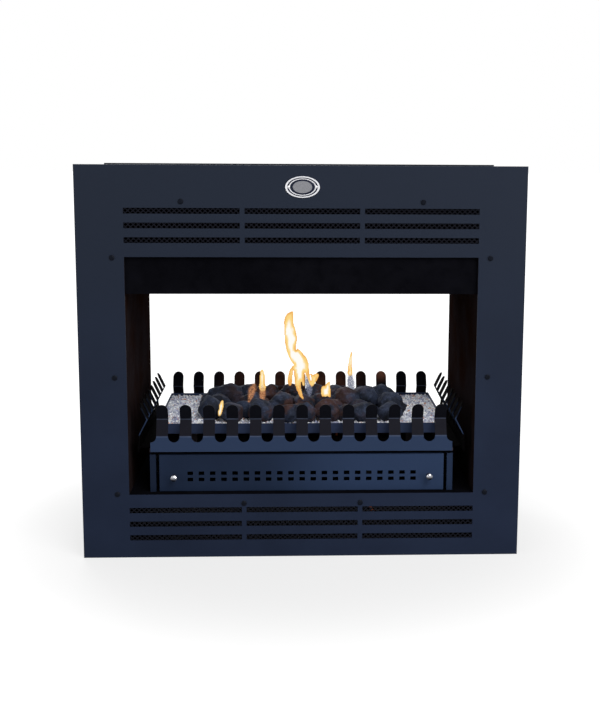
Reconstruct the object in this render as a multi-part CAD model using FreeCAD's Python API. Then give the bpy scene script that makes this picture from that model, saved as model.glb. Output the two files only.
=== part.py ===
import FreeCAD, Part
import math
import os

# Double-sided built-in gas fireplace, in millimetres.
# X runs along the face, Y from the front to the rear, Z up.
# The origin is the middle of the footprint, on the surface that carries the fireplace.

Vector = FreeCAD.Vector
ORIGIN = Vector(0, 0, 0)
UP = Vector(0, 0, 1)
REARWARD = Vector(0, 1, 0)
SIDEWAYS = Vector(1, 0, 0)
HALF_TURN = 180
QUARTER_TURN = 90

# Overall sizes
face_width = 940.0
face_height = 840.0
overall_depth = 430.0
sheet = 1.5
seat_gap = 0.3
cut_overrun = 5.0

# Face frame
face_return = 18.0
face_fold_radius = 2.0
opening_width = 740.0
opening_bottom = 140.0
opening_top_drop = 190.0

# Air slots in the face frame
slot_rows = 3
slots_per_row = 3
slot_height = 12.0
slot_pitch = 30.3
slot_bar = 10.0
upper_slots_rise = 29.0
lower_slots_bottom = 38.5

# Mesh behind the air slots
mesh_sheet = 1.5
mesh_margin = 10.0
mesh_top_strip = 23.0
mesh_bottom_strip = 10.0
mesh_gaps_per_row = 24
mesh_gap_width = 27.0
mesh_gap_height = 9.0

# Screws of the face frame
screw_head_radius = 5.6
screw_crown_radius = 3.4
screw_head_height = 3.0
screw_shank_radius = 2.4
screw_hole_radius = 2.7
screw_length = 9.0
side_screw_inset = 25.0
side_screw_end = 1.5
upper_screw_x = 251.5
upper_screw_rise = 13.4
lower_screw_x = 125.0
lower_screw_drop = 20.0

# Badge plate
badge_width = 71.5
badge_height = 44.0
badge_drop = 44.5
badge_sheet = 2.2
badge_rim = 3.2
badge_recess = 0.8
rivet_spacing = 57.0
rivet_head_radius = 2.6
rivet_head_height = 0.6
rivet_shank_radius = 1.5
rivet_hole_radius = 1.7
rivet_length = 4.0

# Outer casing
casing_width = 880.0
casing_top_drop = 30.0
casing_flange = 28.0
rail_screw_edge = 8.0
casing_bottom_lip = 15.0
casing_bottom_clearance = 1.0
rail_end_clearance = 1.0
fixing_hole_radius = 4.0
fixing_spacing_y = 240.0
fixing_spacing_z = 500.0
fixing_middle_z = 400.0

# Firebox
wall_flange = 38.5
wall_flange_rise = 5.0
ceiling_rise = 10.0
ceiling_lip = 6.0
floor_margin = 10.0
floor_rail = 28.0
air_windows_per_leg = 3
air_window_width = 88.0
air_window_height = 80.0
air_window_bottom = 30.0
air_window_pitch = 118.0
air_window_radius = 12.0
lintel_drop = 78.0
lintel_setback = 6.5
lintel_top_flange = 22.0
lintel_hem = 10.0
baffle_flange = 10.0

# Pedestal of the burner, standing on the firebox floor
pedestal_width = 655.0
pedestal_setback = 23.0
pedestal_height = 84.0
pedestal_strip = 12.5
strip_return = 8.0
pedestal_foot = 8.0
pedestal_foot_end = 22.0
pedestal_top_setback = 8.0
service_hole_width = 60.0
service_hole_depth = 26.0

# Control covers, front and rear
cover_gap = 7.0
cover_depth = 12.0
cover_fold_radius = 1.4
cover_top_gap = 0.7
cover_hem = 18.0
vent_columns = 21
vent_pitch = 24.15
vent_width = 12.0
vent_height = 8.0
vent_row_pitch = 13.8
vent_middle_height = 33.6
knob_x = 275.5
knob_head_radius = 6.6
knob_neck_radius = 3.6
knob_base_radius = 5.0
knob_length = 19.0
knob_head_length = 9.0
knob_round = 2.25
knob_base_length = 3.0
knob_screw_radius = 2.0
knob_nut_radius = 4.0
knob_nut_length = 5.0

# Stops and magnet catches that hold the covers
stop_width = 560.0
stop_depth = 12.0
stop_height = 12.0
catch_height = 52.0
catch_plate_height = 22.0
catch_foot = 14.0
magnet_radius = 7.0
magnet_length = 6.0

# Basket: base pan and comb fences
base_width = 660.0
base_margin = 21.0
base_height = 6.0
fence_sheet = 2.5
finger_pitch = 50.0
finger_width = 25.0
long_fence_finger_count = 13
fence_setback = 16.0
end_fence_x = 352.0
fence_flange = 36.0
band_height = 33.0
upper_fold_height = 68.0
fence_height = 102.0
fence_lean_in = 18.0
fence_lean_out = 16.0
bolt_head_radius = 5.0
bolt_head_height = 3.0
bolt_shank_radius = 2.5
bolt_hole_radius = 2.8
bolt_length = 6.5
bolt_edge = 7.5
long_bolt_x = 225.0
end_bolt_inset = 53.0

# Burner tray, granules and coals
tray_width = 630.0
tray_margin = 34.0
tray_height = 22.0
tray_lift = 32.0
leg_width = 40.0
leg_flange = 20.0
leg_x = 250.0
leg_y = 135.0
burner_width = 480.0
burner_depth = 30.0
burner_height = 14.0
burner_wall = 1.2
burner_ports = 15
burner_port_radius = 2.0
burner_inlet_radius = 4.0
granule_wall_drop = 6.5
granule_crown = 2.0
granule_slope = 45.0
coal_width = 64.0
coal_depth = 60.0
coal_height = 40.0
coal_row_length = 456.0
coal_row_pitch = 84.0
coal_heap_y = -28.0
coal_lower_sink = 4.0
coal_upper_lift = 18.0
lower_coals_per_row = 8
lower_coal_rows = 3
upper_coals_per_row = 7
upper_coal_rows = 2
coal_sway = 7.0
coal_edge_share = 0.27
coal_size_shares = (0.9, 1.06, 0.82, 1.0, 0.86)
coal_tilt_angle = 20.0
coal_tilt_step_angle = 97.4
coal_spin_step_angle = 33.3
coal_sway_step_angle = 137.5
coal_clearance = 0.4

# Control valve, its bracket, spindle and knob
valve_x = 150.0
valve_height = 43.0
valve_width = 70.0
valve_depth = 50.0
valve_body_height = 50.0
valve_edge_radius = 6.0
valve_collar_radius = 9.0
valve_collar_length = 2.0
valve_tower_radius = 14.0
valve_tower_height = 11.0
inlet_boss_radius = 11.0
inlet_boss_length = 10.0
outlet_boss_radius = 9.0
outlet_boss_length = 10.0
pilot_boss_radius = 6.0
pilot_boss_length = 8.0
pilot_boss_drop = 16.0
pilot_boss_setback = 12.0
bracket_width = 170.0
bracket_x = 172.0
bracket_height = 74.0
bracket_foot = 15.0
bracket_hole_gap = 0.4
control_setback = 42.0
spindle_radius = 4.0
spindle_reach = 22.0
spindle_depth = 28.0
spindle_travel = 4.0
running_gap = 0.06
turn_knob_radius = 18.0
turn_knob_skirt = 5.0
turn_knob_grip_radius = 13.0
turn_knob_nose_radius = 11.0
turn_knob_length = 22.0
turn_knob_gap = 6.0
pointer_width = 4.0
pointer_height = 1.8

# Piezo igniter
igniter_x = 215.0
igniter_radius = 9.0
igniter_length = 48.0
igniter_collar_radius = 13.0
igniter_collar = 3.0
igniter_nut = 5.5
igniter_bore_depth = 28.0
terminal_radius = 3.0
terminal_length = 8.0
button_radius = 7.0
button_proud = 10.0
button_depth = 15.0
button_edge = 1.2

# Gas pipes and fittings
inlet_z = 60.0
inlet_radius = 10.5
inlet_bore_radius = 7.0
inlet_stub = 22.0
inlet_tail = 9.0
inlet_nut_radius = 16.0
inlet_nut_length = 8.0
inlet_hole_radius = 11.0
pipe_radius = 6.0
pipe_bend = 36.0
pipe_hole_gap = 2.0
burner_pipe_bend = 28.0
injector_nut_radius = 9.0
injector_nut_length = 12.0
injector_neck_radius = 6.0
injector_bore_radius = 1.5

# Pilot set
pilot_x = 80.0
pilot_y = -45.0
pilot_spacing = 18.0
pilot_pipe_radius = 3.0
pilot_pipe_bend = 14.0
pilot_burner_radius = 5.5
pilot_burner_height = 20.0
pilot_mouth_width = 5.0
pilot_mouth_height = 7.0
thermocouple_radius = 1.6
thermocouple_tip_radius = 2.6
thermocouple_tip_height = 22.0
thermocouple_tail = 5.0
thermocouple_bend = 11.0
thermocouple_rise = 12.0
electrode_radius = 3.4
electrode_height = 16.0
electrode_tail = 8.0
electrode_pin_radius = 1.0
electrode_pin_height = 8.0
lead_radius = 1.8
lead_bend = 10.0
lead_row_y = -20.0
pilot_plate_height = 9.0
pilot_plate_width = 56.0
pilot_plate_depth = 20.0
pilot_pocket_margin = 8.0

# Planes that several pieces share
front_y = -overall_depth / 2
face_back_y = front_y + sheet
mesh_back_y = face_back_y + mesh_sheet
rail_back_y = mesh_back_y + sheet
half_opening = opening_width / 2
opening_top = face_height - opening_top_drop
upper_slots_bottom = opening_top + upper_slots_rise
slot_block_height = (slot_rows - 1) * slot_pitch + slot_height
upper_slots_top = upper_slots_bottom + slot_block_height
upper_screw_z = upper_slots_top + upper_screw_rise
lower_screw_z = opening_bottom - lower_screw_drop
badge_z = face_height - badge_drop
casing_height = face_height - casing_top_drop
wall_outer_x = half_opening + sheet
side_screw_x = half_opening + side_screw_inset
flange_end_x = casing_width / 2 - casing_flange
floor_top = opening_bottom
floor_under = floor_top - sheet
ceiling_z = opening_top + ceiling_rise
lintel_y = face_back_y + lintel_setback
pedestal_front_y = front_y + pedestal_setback
pedestal_half = pedestal_width / 2
pedestal_top_z = floor_top + pedestal_height
strip_inner_x = pedestal_half - pedestal_strip
cover_half = strip_inner_x - cover_gap
cover_bottom_z = floor_top + seat_gap
cover_top_z = pedestal_top_z - sheet - cover_top_gap
cover_back_y = pedestal_front_y + cover_depth
knob_z = floor_top + vent_middle_height
long_fence_y = -front_y - fence_setback
base_depth = 2 * (long_fence_y - base_margin)
end_bolt_y = base_depth / 2 - end_bolt_inset
end_fence_finger_count = round(2 * long_fence_y / finger_pitch)
tray_depth = 2 * (long_fence_y - tray_margin)
base_top_z = pedestal_top_z + base_height
tray_bottom_z = base_top_z + tray_lift
tray_floor_z = tray_bottom_z + sheet
tray_rim_z = tray_bottom_z + tray_height
granule_top_z = tray_rim_z - granule_wall_drop + granule_crown
plate_y = pedestal_front_y + control_setback
plate_back_y = plate_y + sheet
valve_z = floor_top + valve_height
valve_y = plate_back_y + valve_depth / 2
valve_back_y = plate_back_y + valve_depth
spindle_end_y = plate_y - valve_collar_length - spindle_reach


def span(half):
    """The range from minus half to plus half."""
    return (-half, half)


def block(x_span, y_span, z_span):
    """A box between the given ranges."""
    corner = Vector(x_span[0], y_span[0], z_span[0])
    size = (x_span[1] - x_span[0], y_span[1] - y_span[0], z_span[1] - z_span[0])
    return Part.makeBox(*size, corner)


def rod(radius, start, direction, length):
    """A round bar from start along direction."""
    return Part.makeCylinder(radius, length, start, direction)


def turned(shape, angle):
    """A copy of shape turned about the vertical axis through the origin."""
    copy = shape.copy()
    copy.rotate(ORIGIN, UP, angle)
    return copy


def joined(shapes):
    """One solid out of solids that touch or overlap."""
    return shapes[0].multiFuse(shapes[1:]).removeSplitter()


def without(shape, cutters):
    """Shape with all the cutters taken out of it."""
    return shape.cut(Part.makeCompound(cutters))


def save(name, solids):
    """Write one named piece, or a group of equal pieces."""
    shape = solids[0] if len(solids) == 1 else Part.makeCompound(solids)
    shape.exportStep("parts/" + name + ".step")


def thickened(path, thickness):
    """Outline of a folded sheet: the path is its outer side, the sheet lies to the left."""
    normals = []
    for first, second in zip(path, path[1:]):
        run = math.hypot(second[0] - first[0], second[1] - first[1])
        normals.append(((first[1] - second[1]) / run, (second[0] - first[0]) / run))
    inner = []
    for index, point in enumerate(path):
        before = normals[max(index - 1, 0)]
        after = normals[min(index, len(normals) - 1)]
        reach = thickness / (1 + before[0] * after[0] + before[1] * after[1])
        inner.append((point[0] + (before[0] + after[0]) * reach,
                      point[1] + (before[1] + after[1]) * reach))
    return path + inner[::-1]


def along_x(outline, x_span):
    """A prism with a (y, z) outline."""
    points = [Vector(x_span[0], y, z) for y, z in outline]
    face = Part.Face(Part.makePolygon(points + points[:1]))
    return face.extrude(SIDEWAYS * (x_span[1] - x_span[0]))


def along_y(outline, y_span):
    """A prism with an (x, z) outline."""
    points = [Vector(x, y_span[0], z) for x, z in outline]
    face = Part.Face(Part.makePolygon(points + points[:1]))
    return face.extrude(REARWARD * (y_span[1] - y_span[0]))


def along_z(outline, z_span):
    """A prism with an (x, y) outline."""
    points = [Vector(x, y, z_span[0]) for x, y in outline]
    face = Part.Face(Part.makePolygon(points + points[:1]))
    return face.extrude(UP * (z_span[1] - z_span[0]))


def revolved(outline, centre, axis_direction):
    """A turned piece: the outline holds (distance along the axis, radius) pairs."""
    side = UP if abs(axis_direction.z) < abs(axis_direction.y) + abs(axis_direction.x) else SIDEWAYS
    points = [centre + axis_direction * along + side * radius for along, radius in outline]
    face = Part.Face(Part.makePolygon(points + points[:1]))
    return face.revolve(centre, axis_direction, 2 * HALF_TURN)


def bent_pipe(points, radius, bend):
    """A round pipe along straight runs joined by tangent arcs."""
    edges = []
    start = points[0]
    for before, corner, after in zip(points, points[1:], points[2:]):
        incoming = (corner - before).normalize()
        outgoing = (after - corner).normalize()
        turn = incoming.getAngle(outgoing)
        setback = bend * math.tan(turn / 2)
        arc_start = corner - incoming * setback
        arc_end = corner + outgoing * setback
        inward = (outgoing - incoming).normalize()
        arc_middle = corner + inward * (bend / math.cos(turn / 2) - bend)
        edges.append(Part.LineSegment(start, arc_start).toShape())
        edges.append(Part.Arc(arc_start, arc_middle, arc_end).toShape())
        start = arc_end
    edges.append(Part.LineSegment(start, points[-1]).toShape())
    section = Part.Wire(Part.makeCircle(radius, points[0], points[1] - points[0]))
    return Part.Wire(edges).makePipeShell([section], True, False)


def side_screw_places():
    """Screws beside the opening, through the flanges of the firebox walls."""
    heights = (opening_bottom + side_screw_end, (opening_bottom + opening_top) / 2,
               opening_top - side_screw_end)
    return [(x, z) for x in span(side_screw_x) for z in heights]


def upper_screw_places():
    """Screws above the upper slots, through mesh and casing rail."""
    return [(x, upper_screw_z) for x in span(upper_screw_x)]


def lower_screw_places():
    """Screws above the lower slots, through mesh and floor rail."""
    return [(x, lower_screw_z) for x in span(lower_screw_x)]


def all_screw_places():
    """Every screw of one face frame."""
    return side_screw_places() + upper_screw_places() + lower_screw_places()


def drills(places, radius, y_from, y_to):
    """Cutters for round holes along Y at (x, z) places."""
    return [rod(radius, Vector(x, y_from - cut_overrun, z), REARWARD,
                y_to - y_from + 2 * cut_overrun) for x, z in places]


def slot_cutters(lowest_row_z):
    """Cutters for one block of air slots."""
    slot_length = (opening_width - slot_bar * (slots_per_row - 1)) / slots_per_row
    cutters = []
    for row in range(slot_rows):
        z = lowest_row_z + row * slot_pitch
        for column in range(slots_per_row):
            x = -half_opening + column * (slot_length + slot_bar)
            cutters.append(block((x, x + slot_length), (front_y - cut_overrun, face_back_y + cut_overrun),
                                 (z, z + slot_height)))
    return cutters


def rivet_places():
    """The two rivets of the badge."""
    return [(x, badge_z) for x in span(rivet_spacing / 2)]


def face_frame(has_badge):
    """Folded face sheet with returned outer edges, the opening and the air slots."""
    tray = block(span(face_width / 2), (front_y, front_y + face_return), (0, face_height))
    front_edges = [edge for edge in tray.Edges
                   if all(abs(vertex.Y - front_y) < sheet / 2 for vertex in edge.Vertexes)]
    tray = tray.makeFillet(face_fold_radius, front_edges)
    cutters = [block(span(face_width / 2 - sheet), (face_back_y, front_y + face_return + cut_overrun),
                     (sheet, face_height - sheet))]
    cutters.append(block(span(half_opening), (front_y - cut_overrun, face_back_y + cut_overrun),
                         (opening_bottom, opening_top)))
    cutters += slot_cutters(upper_slots_bottom) + slot_cutters(lower_slots_bottom)
    cutters += drills(all_screw_places(), screw_hole_radius, front_y, face_back_y)
    if has_badge:
        cutters += drills(rivet_places(), rivet_hole_radius, front_y, face_back_y)
    return without(tray, cutters)


def closed_wire(places):
    """Closed outline through (x, z) places on the rear side of the face sheet."""
    points = [Vector(x, face_back_y, z) for x, z in places]
    return Part.makePolygon(points + points[:1])


def mesh_panel(lowest_row_z, screw_places):
    """Flat mesh behind one block of slots, with a plain strip along its top for the screws."""
    rows_top = lowest_row_z + slot_block_height
    x_from, x_to = span(half_opening + mesh_margin)
    z_from, z_to = lowest_row_z - mesh_bottom_strip, rows_top + mesh_top_strip
    wires = [closed_wire([(x_from, z_from), (x_to, z_from), (x_to, z_to), (x_from, z_to)])]
    pitch = opening_width / mesh_gaps_per_row
    for row in range(slot_rows):
        z = lowest_row_z + row * slot_pitch + slot_height / 2
        for column in range(mesh_gaps_per_row):
            x = -half_opening + (column + 0.5) * pitch
            wires.append(closed_wire([(x - mesh_gap_width / 2, z), (x, z - mesh_gap_height / 2),
                                      (x + mesh_gap_width / 2, z), (x, z + mesh_gap_height / 2)]))
    for x, z in screw_places:
        wires.append(Part.Wire(Part.makeCircle(screw_hole_radius, Vector(x, face_back_y, z), REARWARD)))
    return Part.Face(wires, "Part::FaceMakerBullseye").extrude(REARWARD * mesh_sheet)


def headed_pin(centre, direction, head, shank):
    """Dome-head screw, bolt or rivet; direction points along the shank, away from the head."""
    head_radius, crown_radius, head_height = head
    shank_radius, shank_length = shank
    outline = [(-head_height, 0), (-head_height, crown_radius), (-head_height / 2, head_radius),
               (0, head_radius), (0, shank_radius), (shank_length, shank_radius), (shank_length, 0)]
    return revolved(outline, centre, direction)


def frame_screws():
    """All the screws of one face frame."""
    head = (screw_head_radius, screw_crown_radius, screw_head_height)
    shank = (screw_shank_radius, screw_length)
    return [headed_pin(Vector(x, front_y, z), REARWARD, head, shank) for x, z in all_screw_places()]


def oval(width, height, y_from, thickness):
    """An oval plate in the face plane, centred on the badge."""
    ellipse = Part.Ellipse(Vector(0, y_from, badge_z), width / 2, height / 2)
    ellipse.Axis = REARWARD
    face = Part.Face(Part.Wire(ellipse.toShape()))
    return face.extrude(REARWARD * thickness)


def badge_plate():
    """Bare oval plate with a raised rim."""
    plate = oval(badge_width, badge_height, front_y - badge_sheet, badge_sheet)
    recess = oval(badge_width - 2 * badge_rim, badge_height - 2 * badge_rim,
                  front_y - badge_sheet, badge_recess)
    holes = drills(rivet_places(), rivet_hole_radius, front_y - badge_sheet, front_y)
    return without(plate, [recess] + holes)


def badge_rivets():
    """Two rivets through the badge and the face sheet."""
    head = (rivet_head_radius, rivet_shank_radius, rivet_head_height)
    seat_y = front_y - badge_sheet + badge_recess
    return [headed_pin(Vector(x, seat_y, z), REARWARD, head, (rivet_shank_radius, rivet_length))
            for x, z in rivet_places()]


def fixing_places():
    """Fixing holes of one casing side, as (y, z) places."""
    heights = (fixing_middle_z - fixing_spacing_z / 2, fixing_middle_z + fixing_spacing_z / 2)
    return [(y, z) for y in span(fixing_spacing_y / 2) for z in heights]


def casing_side(has_gas_inlet):
    """Right side of the casing: a channel whose flanges meet the two face frames."""
    outer = casing_width / 2
    path = [(flange_end_x, face_back_y), (outer, face_back_y), (outer, -face_back_y),
            (flange_end_x, -face_back_y)]
    side = along_z(thickened(path, sheet), (sheet, casing_height - sheet))
    holes = [(y, z, fixing_hole_radius) for y, z in fixing_places()]
    if has_gas_inlet:
        holes.append((valve_y, inlet_z, inlet_hole_radius))
    cutters = [rod(radius, Vector(outer - sheet - cut_overrun, y, z), SIDEWAYS, sheet + 2 * cut_overrun)
               for y, z, radius in holes]
    return without(side, cutters)


def casing_top():
    """Top of the casing with a rail turned down behind each face frame."""
    plate_depth = -mesh_back_y
    plate = block(span(casing_width / 2), span(plate_depth), (casing_height - sheet, casing_height))
    rail = block(span(flange_end_x - rail_end_clearance), (mesh_back_y, rail_back_y),
                 (upper_screw_z - rail_screw_edge, casing_height - sheet))
    rail = without(rail, drills(upper_screw_places(), screw_hole_radius, mesh_back_y, rail_back_y))
    return joined([plate, rail, turned(rail, HALF_TURN)])


def casing_bottom():
    """Bottom of the casing, between the bottom returns of the face frames."""
    edge_y = front_y + face_return + casing_bottom_clearance
    path = [(edge_y, casing_bottom_lip), (edge_y, 0), (-edge_y, 0), (-edge_y, casing_bottom_lip)]
    plate = along_x(thickened(path, sheet), span(casing_width / 2 - sheet))
    shelf = block(span(casing_width / 2), span(-edge_y), (0, sheet))
    return joined([plate, shelf])


def firebox_wall():
    """Right wall of the firebox, with flanges turned outward behind the face frames."""
    end_x = wall_outer_x + wall_flange
    path = [(end_x, -face_back_y), (half_opening, -face_back_y), (half_opening, face_back_y),
            (end_x, face_back_y)]
    wall = along_z(thickened(path, sheet), (floor_top, ceiling_z))
    flange_cut = block((wall_outer_x, end_x + cut_overrun), span(overall_depth / 2),
                       (opening_top + wall_flange_rise, ceiling_z + cut_overrun))
    holes = drills([place for place in side_screw_places() if place[0] > 0], screw_hole_radius,
                   face_back_y, -face_back_y)
    return without(wall, [flange_cut] + holes)


def firebox_ceiling():
    """Ceiling plate on the two walls, with short upturned edges front and rear."""
    edge_y = mesh_back_y
    path = [(edge_y, ceiling_z + ceiling_lip), (edge_y, ceiling_z), (-edge_y, ceiling_z),
            (-edge_y, ceiling_z + ceiling_lip)]
    return along_x(thickened(path, sheet), span(wall_outer_x))


def air_windows():
    """Round-cornered cutters for the air windows in the legs of the firebox floor."""
    cutters = []
    for number in range(air_windows_per_leg):
        start_y = (number - (air_windows_per_leg - 1) / 2) * air_window_pitch - air_window_width / 2
        window = block(span(casing_width / 2), (start_y, start_y + air_window_width),
                       (air_window_bottom, air_window_bottom + air_window_height))
        cutters.append(window.makeFillet(air_window_radius, [
            edge for edge in window.Edges if abs(edge.tangentAt(edge.FirstParameter).x) > 0.5]))
    return cutters


def firebox_floor():
    """Table of the firebox: plate, two legs with air windows, and a rail behind each face."""
    half_x = wall_outer_x + floor_margin
    leg_end_y = front_y + face_return + casing_bottom_clearance + sheet + casing_bottom_clearance
    legs_path = [(-half_x, sheet), (-half_x, floor_top), (half_x, floor_top), (half_x, sheet)]
    table = along_y(thickened(legs_path[::-1], sheet), (leg_end_y, -leg_end_y))
    rail_z = floor_top - floor_rail
    rails_path = [(mesh_back_y, rail_z), (mesh_back_y, floor_top), (-mesh_back_y, floor_top),
                  (-mesh_back_y, rail_z)]
    plate = along_x(thickened(rails_path[::-1], sheet), span(half_x - sheet))
    floor = joined([table, plate])
    pipe_hole = rod(pipe_radius + pipe_hole_gap, Vector(valve_x, valve_y, floor_under - cut_overrun), UP,
                    sheet + 2 * cut_overrun)
    holes = drills(lower_screw_places(), screw_hole_radius, mesh_back_y, -mesh_back_y)
    return without(floor, air_windows() + holes + [pipe_hole])


def lintel():
    """Front lintel: hangs from the ceiling behind the top of the opening, hemmed at its lower edge."""
    bottom_z = opening_top - lintel_drop
    path = [(lintel_y + lintel_top_flange, ceiling_z), (lintel_y, ceiling_z), (lintel_y, bottom_z),
            (lintel_y + lintel_hem, bottom_z)]
    return along_x(thickened(path, sheet), span(half_opening - seat_gap))


def upper_baffle():
    """Upright plate that parts the upper air channel of one face from that of the other."""
    top_z = casing_height - sheet
    bottom_z = ceiling_z + sheet
    path = [(-baffle_flange, top_z), (0, top_z), (0, bottom_z), (-baffle_flange, bottom_z)]
    return along_x(thickened(path[::-1], sheet), span(half_opening))


def pedestal_side():
    """Right side of the pedestal: a channel with a returned strip at each end and a foot."""
    outer = pedestal_half
    path = [(strip_inner_x, -pedestal_front_y - strip_return), (strip_inner_x, -pedestal_front_y),
            (outer, -pedestal_front_y), (outer, pedestal_front_y), (strip_inner_x, pedestal_front_y),
            (strip_inner_x, pedestal_front_y + strip_return)]
    side = along_z(thickened(path[::-1], sheet), (floor_top, pedestal_top_z - sheet))
    foot = block((outer - sheet - pedestal_foot, outer - sheet),
                 span(-pedestal_front_y - pedestal_foot_end), (floor_top, floor_top + sheet))
    return joined([side, foot])


def service_holes(z_from, z_to):
    """Cutters for the holes through which the burner pipe and the pilot lines rise."""
    slot = block((pilot_x - service_hole_width / 2, pilot_x + service_hole_width / 2),
                 (pilot_y - service_hole_depth / 2, pilot_y + service_hole_depth / 2),
                 (z_from - cut_overrun, z_to + cut_overrun))
    round_hole = rod(pipe_radius + pipe_hole_gap, Vector(0, 0, z_from - cut_overrun), UP,
                     z_to - z_from + 2 * cut_overrun)
    return [slot, round_hole]


def pedestal_top():
    """Top plate of the pedestal, set back from the covers."""
    plate = block(span(pedestal_half), span(-pedestal_front_y - pedestal_top_setback),
                  (pedestal_top_z - sheet, pedestal_top_z))
    return without(plate, service_holes(pedestal_top_z - sheet, pedestal_top_z))


def cover():
    """Front control cover: a shallow pan with hemmed ends, two rows of vents and two knob holes."""
    pan = block(span(cover_half), (pedestal_front_y, cover_back_y), (cover_bottom_z, cover_top_z))
    front_edges = [edge for edge in pan.Edges
                   if all(abs(vertex.Y - pedestal_front_y) < sheet / 2 for vertex in edge.Vertexes)]
    pan = pan.makeFillet(cover_fold_radius, front_edges)
    inner_z = (cover_bottom_z + sheet, cover_top_z - sheet)
    hollow = block(span(cover_half - sheet), (pedestal_front_y + sheet, cover_back_y - sheet), inner_z)
    mouth = block(span(cover_half - cover_hem), (cover_back_y - 2 * sheet, cover_back_y + cut_overrun),
                  inner_z)
    cutters = [hollow, mouth]
    for column in range(vent_columns):
        x = (column - (vent_columns - 1) / 2) * vent_pitch
        for z in (knob_z - vent_row_pitch / 2, knob_z + vent_row_pitch / 2):
            cutters.append(block((x - vent_width / 2, x + vent_width / 2),
                                 (pedestal_front_y - cut_overrun, pedestal_front_y + sheet + seat_gap),
                                 (z - vent_height / 2, z + vent_height / 2)))
    cutters += [rod(knob_screw_radius, Vector(x, pedestal_front_y - cut_overrun, knob_z), REARWARD,
                    cut_overrun + sheet + seat_gap) for x in span(knob_x)]
    return without(pan, cutters)


def cover_knobs():
    """Two turned pull knobs with their screws and nuts, through the cover sheet."""
    head_end = knob_head_length - knob_length
    outline = [(-knob_length, 0), (-knob_length, knob_head_radius / 2),
               (knob_round - knob_length, knob_head_radius), (head_end - knob_round, knob_head_radius),
               (head_end, knob_neck_radius), (-knob_base_length, knob_neck_radius),
               (0, knob_base_radius), (0, knob_screw_radius), (sheet, knob_screw_radius),
               (sheet, knob_nut_radius), (sheet + knob_nut_length, knob_nut_radius),
               (sheet + knob_nut_length, 0)]
    return [revolved(outline, Vector(x, pedestal_front_y, knob_z), REARWARD) for x in span(knob_x)]


def cover_stop():
    """Angle on the firebox floor that the front cover stands against."""
    near_y = cover_back_y + seat_gap
    path = [(near_y, floor_top + stop_height), (near_y, floor_top), (near_y + stop_depth, floor_top)]
    return along_x(thickened(path, sheet), span(stop_width / 2))


def catch_bracket():
    """Right front catch: an angle on the inside of the pedestal side, carrying a magnet."""
    plate_front = cover_back_y + seat_gap + magnet_length
    web_x = pedestal_half - sheet
    path = [(cover_half - cover_hem, plate_front), (web_x, plate_front),
            (web_x, plate_front + catch_foot)]
    bottom_z = floor_top + catch_height - catch_plate_height / 2
    return along_z(thickened(path, sheet), (bottom_z, bottom_z + catch_plate_height))


def catch_magnet():
    """Right front magnet, between its bracket and the hem of the cover."""
    middle_x = cover_half - cover_hem / 2
    start = Vector(middle_x, cover_back_y + seat_gap, floor_top + catch_height)
    return rod(magnet_radius, start, REARWARD, magnet_length)


def left_and_right(shape):
    """The shape and its mirror image across the middle of the fireplace."""
    return [shape, shape.mirror(ORIGIN, SIDEWAYS)]


def front_and_rear(shapes):
    """The shapes and the same ones turned round to the other face."""
    return shapes + [turned(shape, HALF_TURN) for shape in shapes]


def fence_bolt_places():
    """Bolts of the four fences, as (x, y) places."""
    long_y = base_depth / 2 - bolt_edge
    end_x = base_width / 2 - bolt_edge
    places = [(x, y) for x in (-long_bolt_x, 0, long_bolt_x) for y in span(long_y)]
    return places + [(x, y) for x in span(end_x) for y in span(end_bolt_y)]


def bolt_drills(z_from, z_to):
    """Cutters for the fence bolts."""
    return [rod(bolt_hole_radius, Vector(x, y, z_from - cut_overrun), UP, z_to - z_from + 2 * cut_overrun)
            for x, y in fence_bolt_places()]


def basket_base():
    """Base pan of the basket: a plate with its edges turned down onto the pedestal."""
    pan = block(span(base_width / 2), span(base_depth / 2), (pedestal_top_z, base_top_z))
    hollow = block(span(base_width / 2 - sheet), span(base_depth / 2 - sheet),
                   (pedestal_top_z - cut_overrun, base_top_z - sheet))
    holes = service_holes(pedestal_top_z, base_top_z) + bolt_drills(pedestal_top_z, base_top_z)
    return without(pan, [hollow] + holes)


def comb_outline(finger_count, y_span):
    """Prism with the front view of a comb: round slots and finger tips, half slots at the ends."""
    slot_radius = (finger_pitch - finger_width) / 2
    tip_radius = finger_width / 2
    half_length = finger_count * finger_pitch / 2
    slot_z = base_top_z + band_height
    tip_z = base_top_z + fence_height - tip_radius
    bottom_z = base_top_z - cut_overrun
    across = math.sqrt(0.5)

    def at(x, z):
        return Vector(x, y_span[0], z)

    edges = [Part.LineSegment(at(half_length, slot_z - slot_radius), at(half_length, bottom_z)),
             Part.LineSegment(at(half_length, bottom_z), at(-half_length, bottom_z)),
             Part.LineSegment(at(-half_length, bottom_z), at(-half_length, slot_z - slot_radius)),
             Part.Arc(at(-half_length, slot_z - slot_radius),
                      at(-half_length + slot_radius * across, slot_z - slot_radius * across),
                      at(-half_length + slot_radius, slot_z))]
    for finger in range(finger_count):
        middle = -half_length + (finger + 0.5) * finger_pitch
        left = middle - tip_radius
        right = middle + tip_radius
        edges.append(Part.LineSegment(at(left, slot_z), at(left, tip_z)))
        edges.append(Part.Arc(at(left, tip_z), at(middle, tip_z + tip_radius), at(right, tip_z)))
        edges.append(Part.LineSegment(at(right, tip_z), at(right, slot_z)))
        slot_middle = right + slot_radius
        if finger < finger_count - 1:
            edges.append(Part.Arc(at(right, slot_z), at(slot_middle, slot_z - slot_radius),
                                  at(right + 2 * slot_radius, slot_z)))
        else:
            edges.append(Part.Arc(at(right, slot_z),
                                  at(slot_middle - slot_radius * across, slot_z - slot_radius * across),
                                  at(slot_middle, slot_z - slot_radius)))
    wire = Part.Wire([edge.toShape() for edge in edges])
    return Part.Face(wire).extrude(REARWARD * (y_span[1] - y_span[0]))


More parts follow.
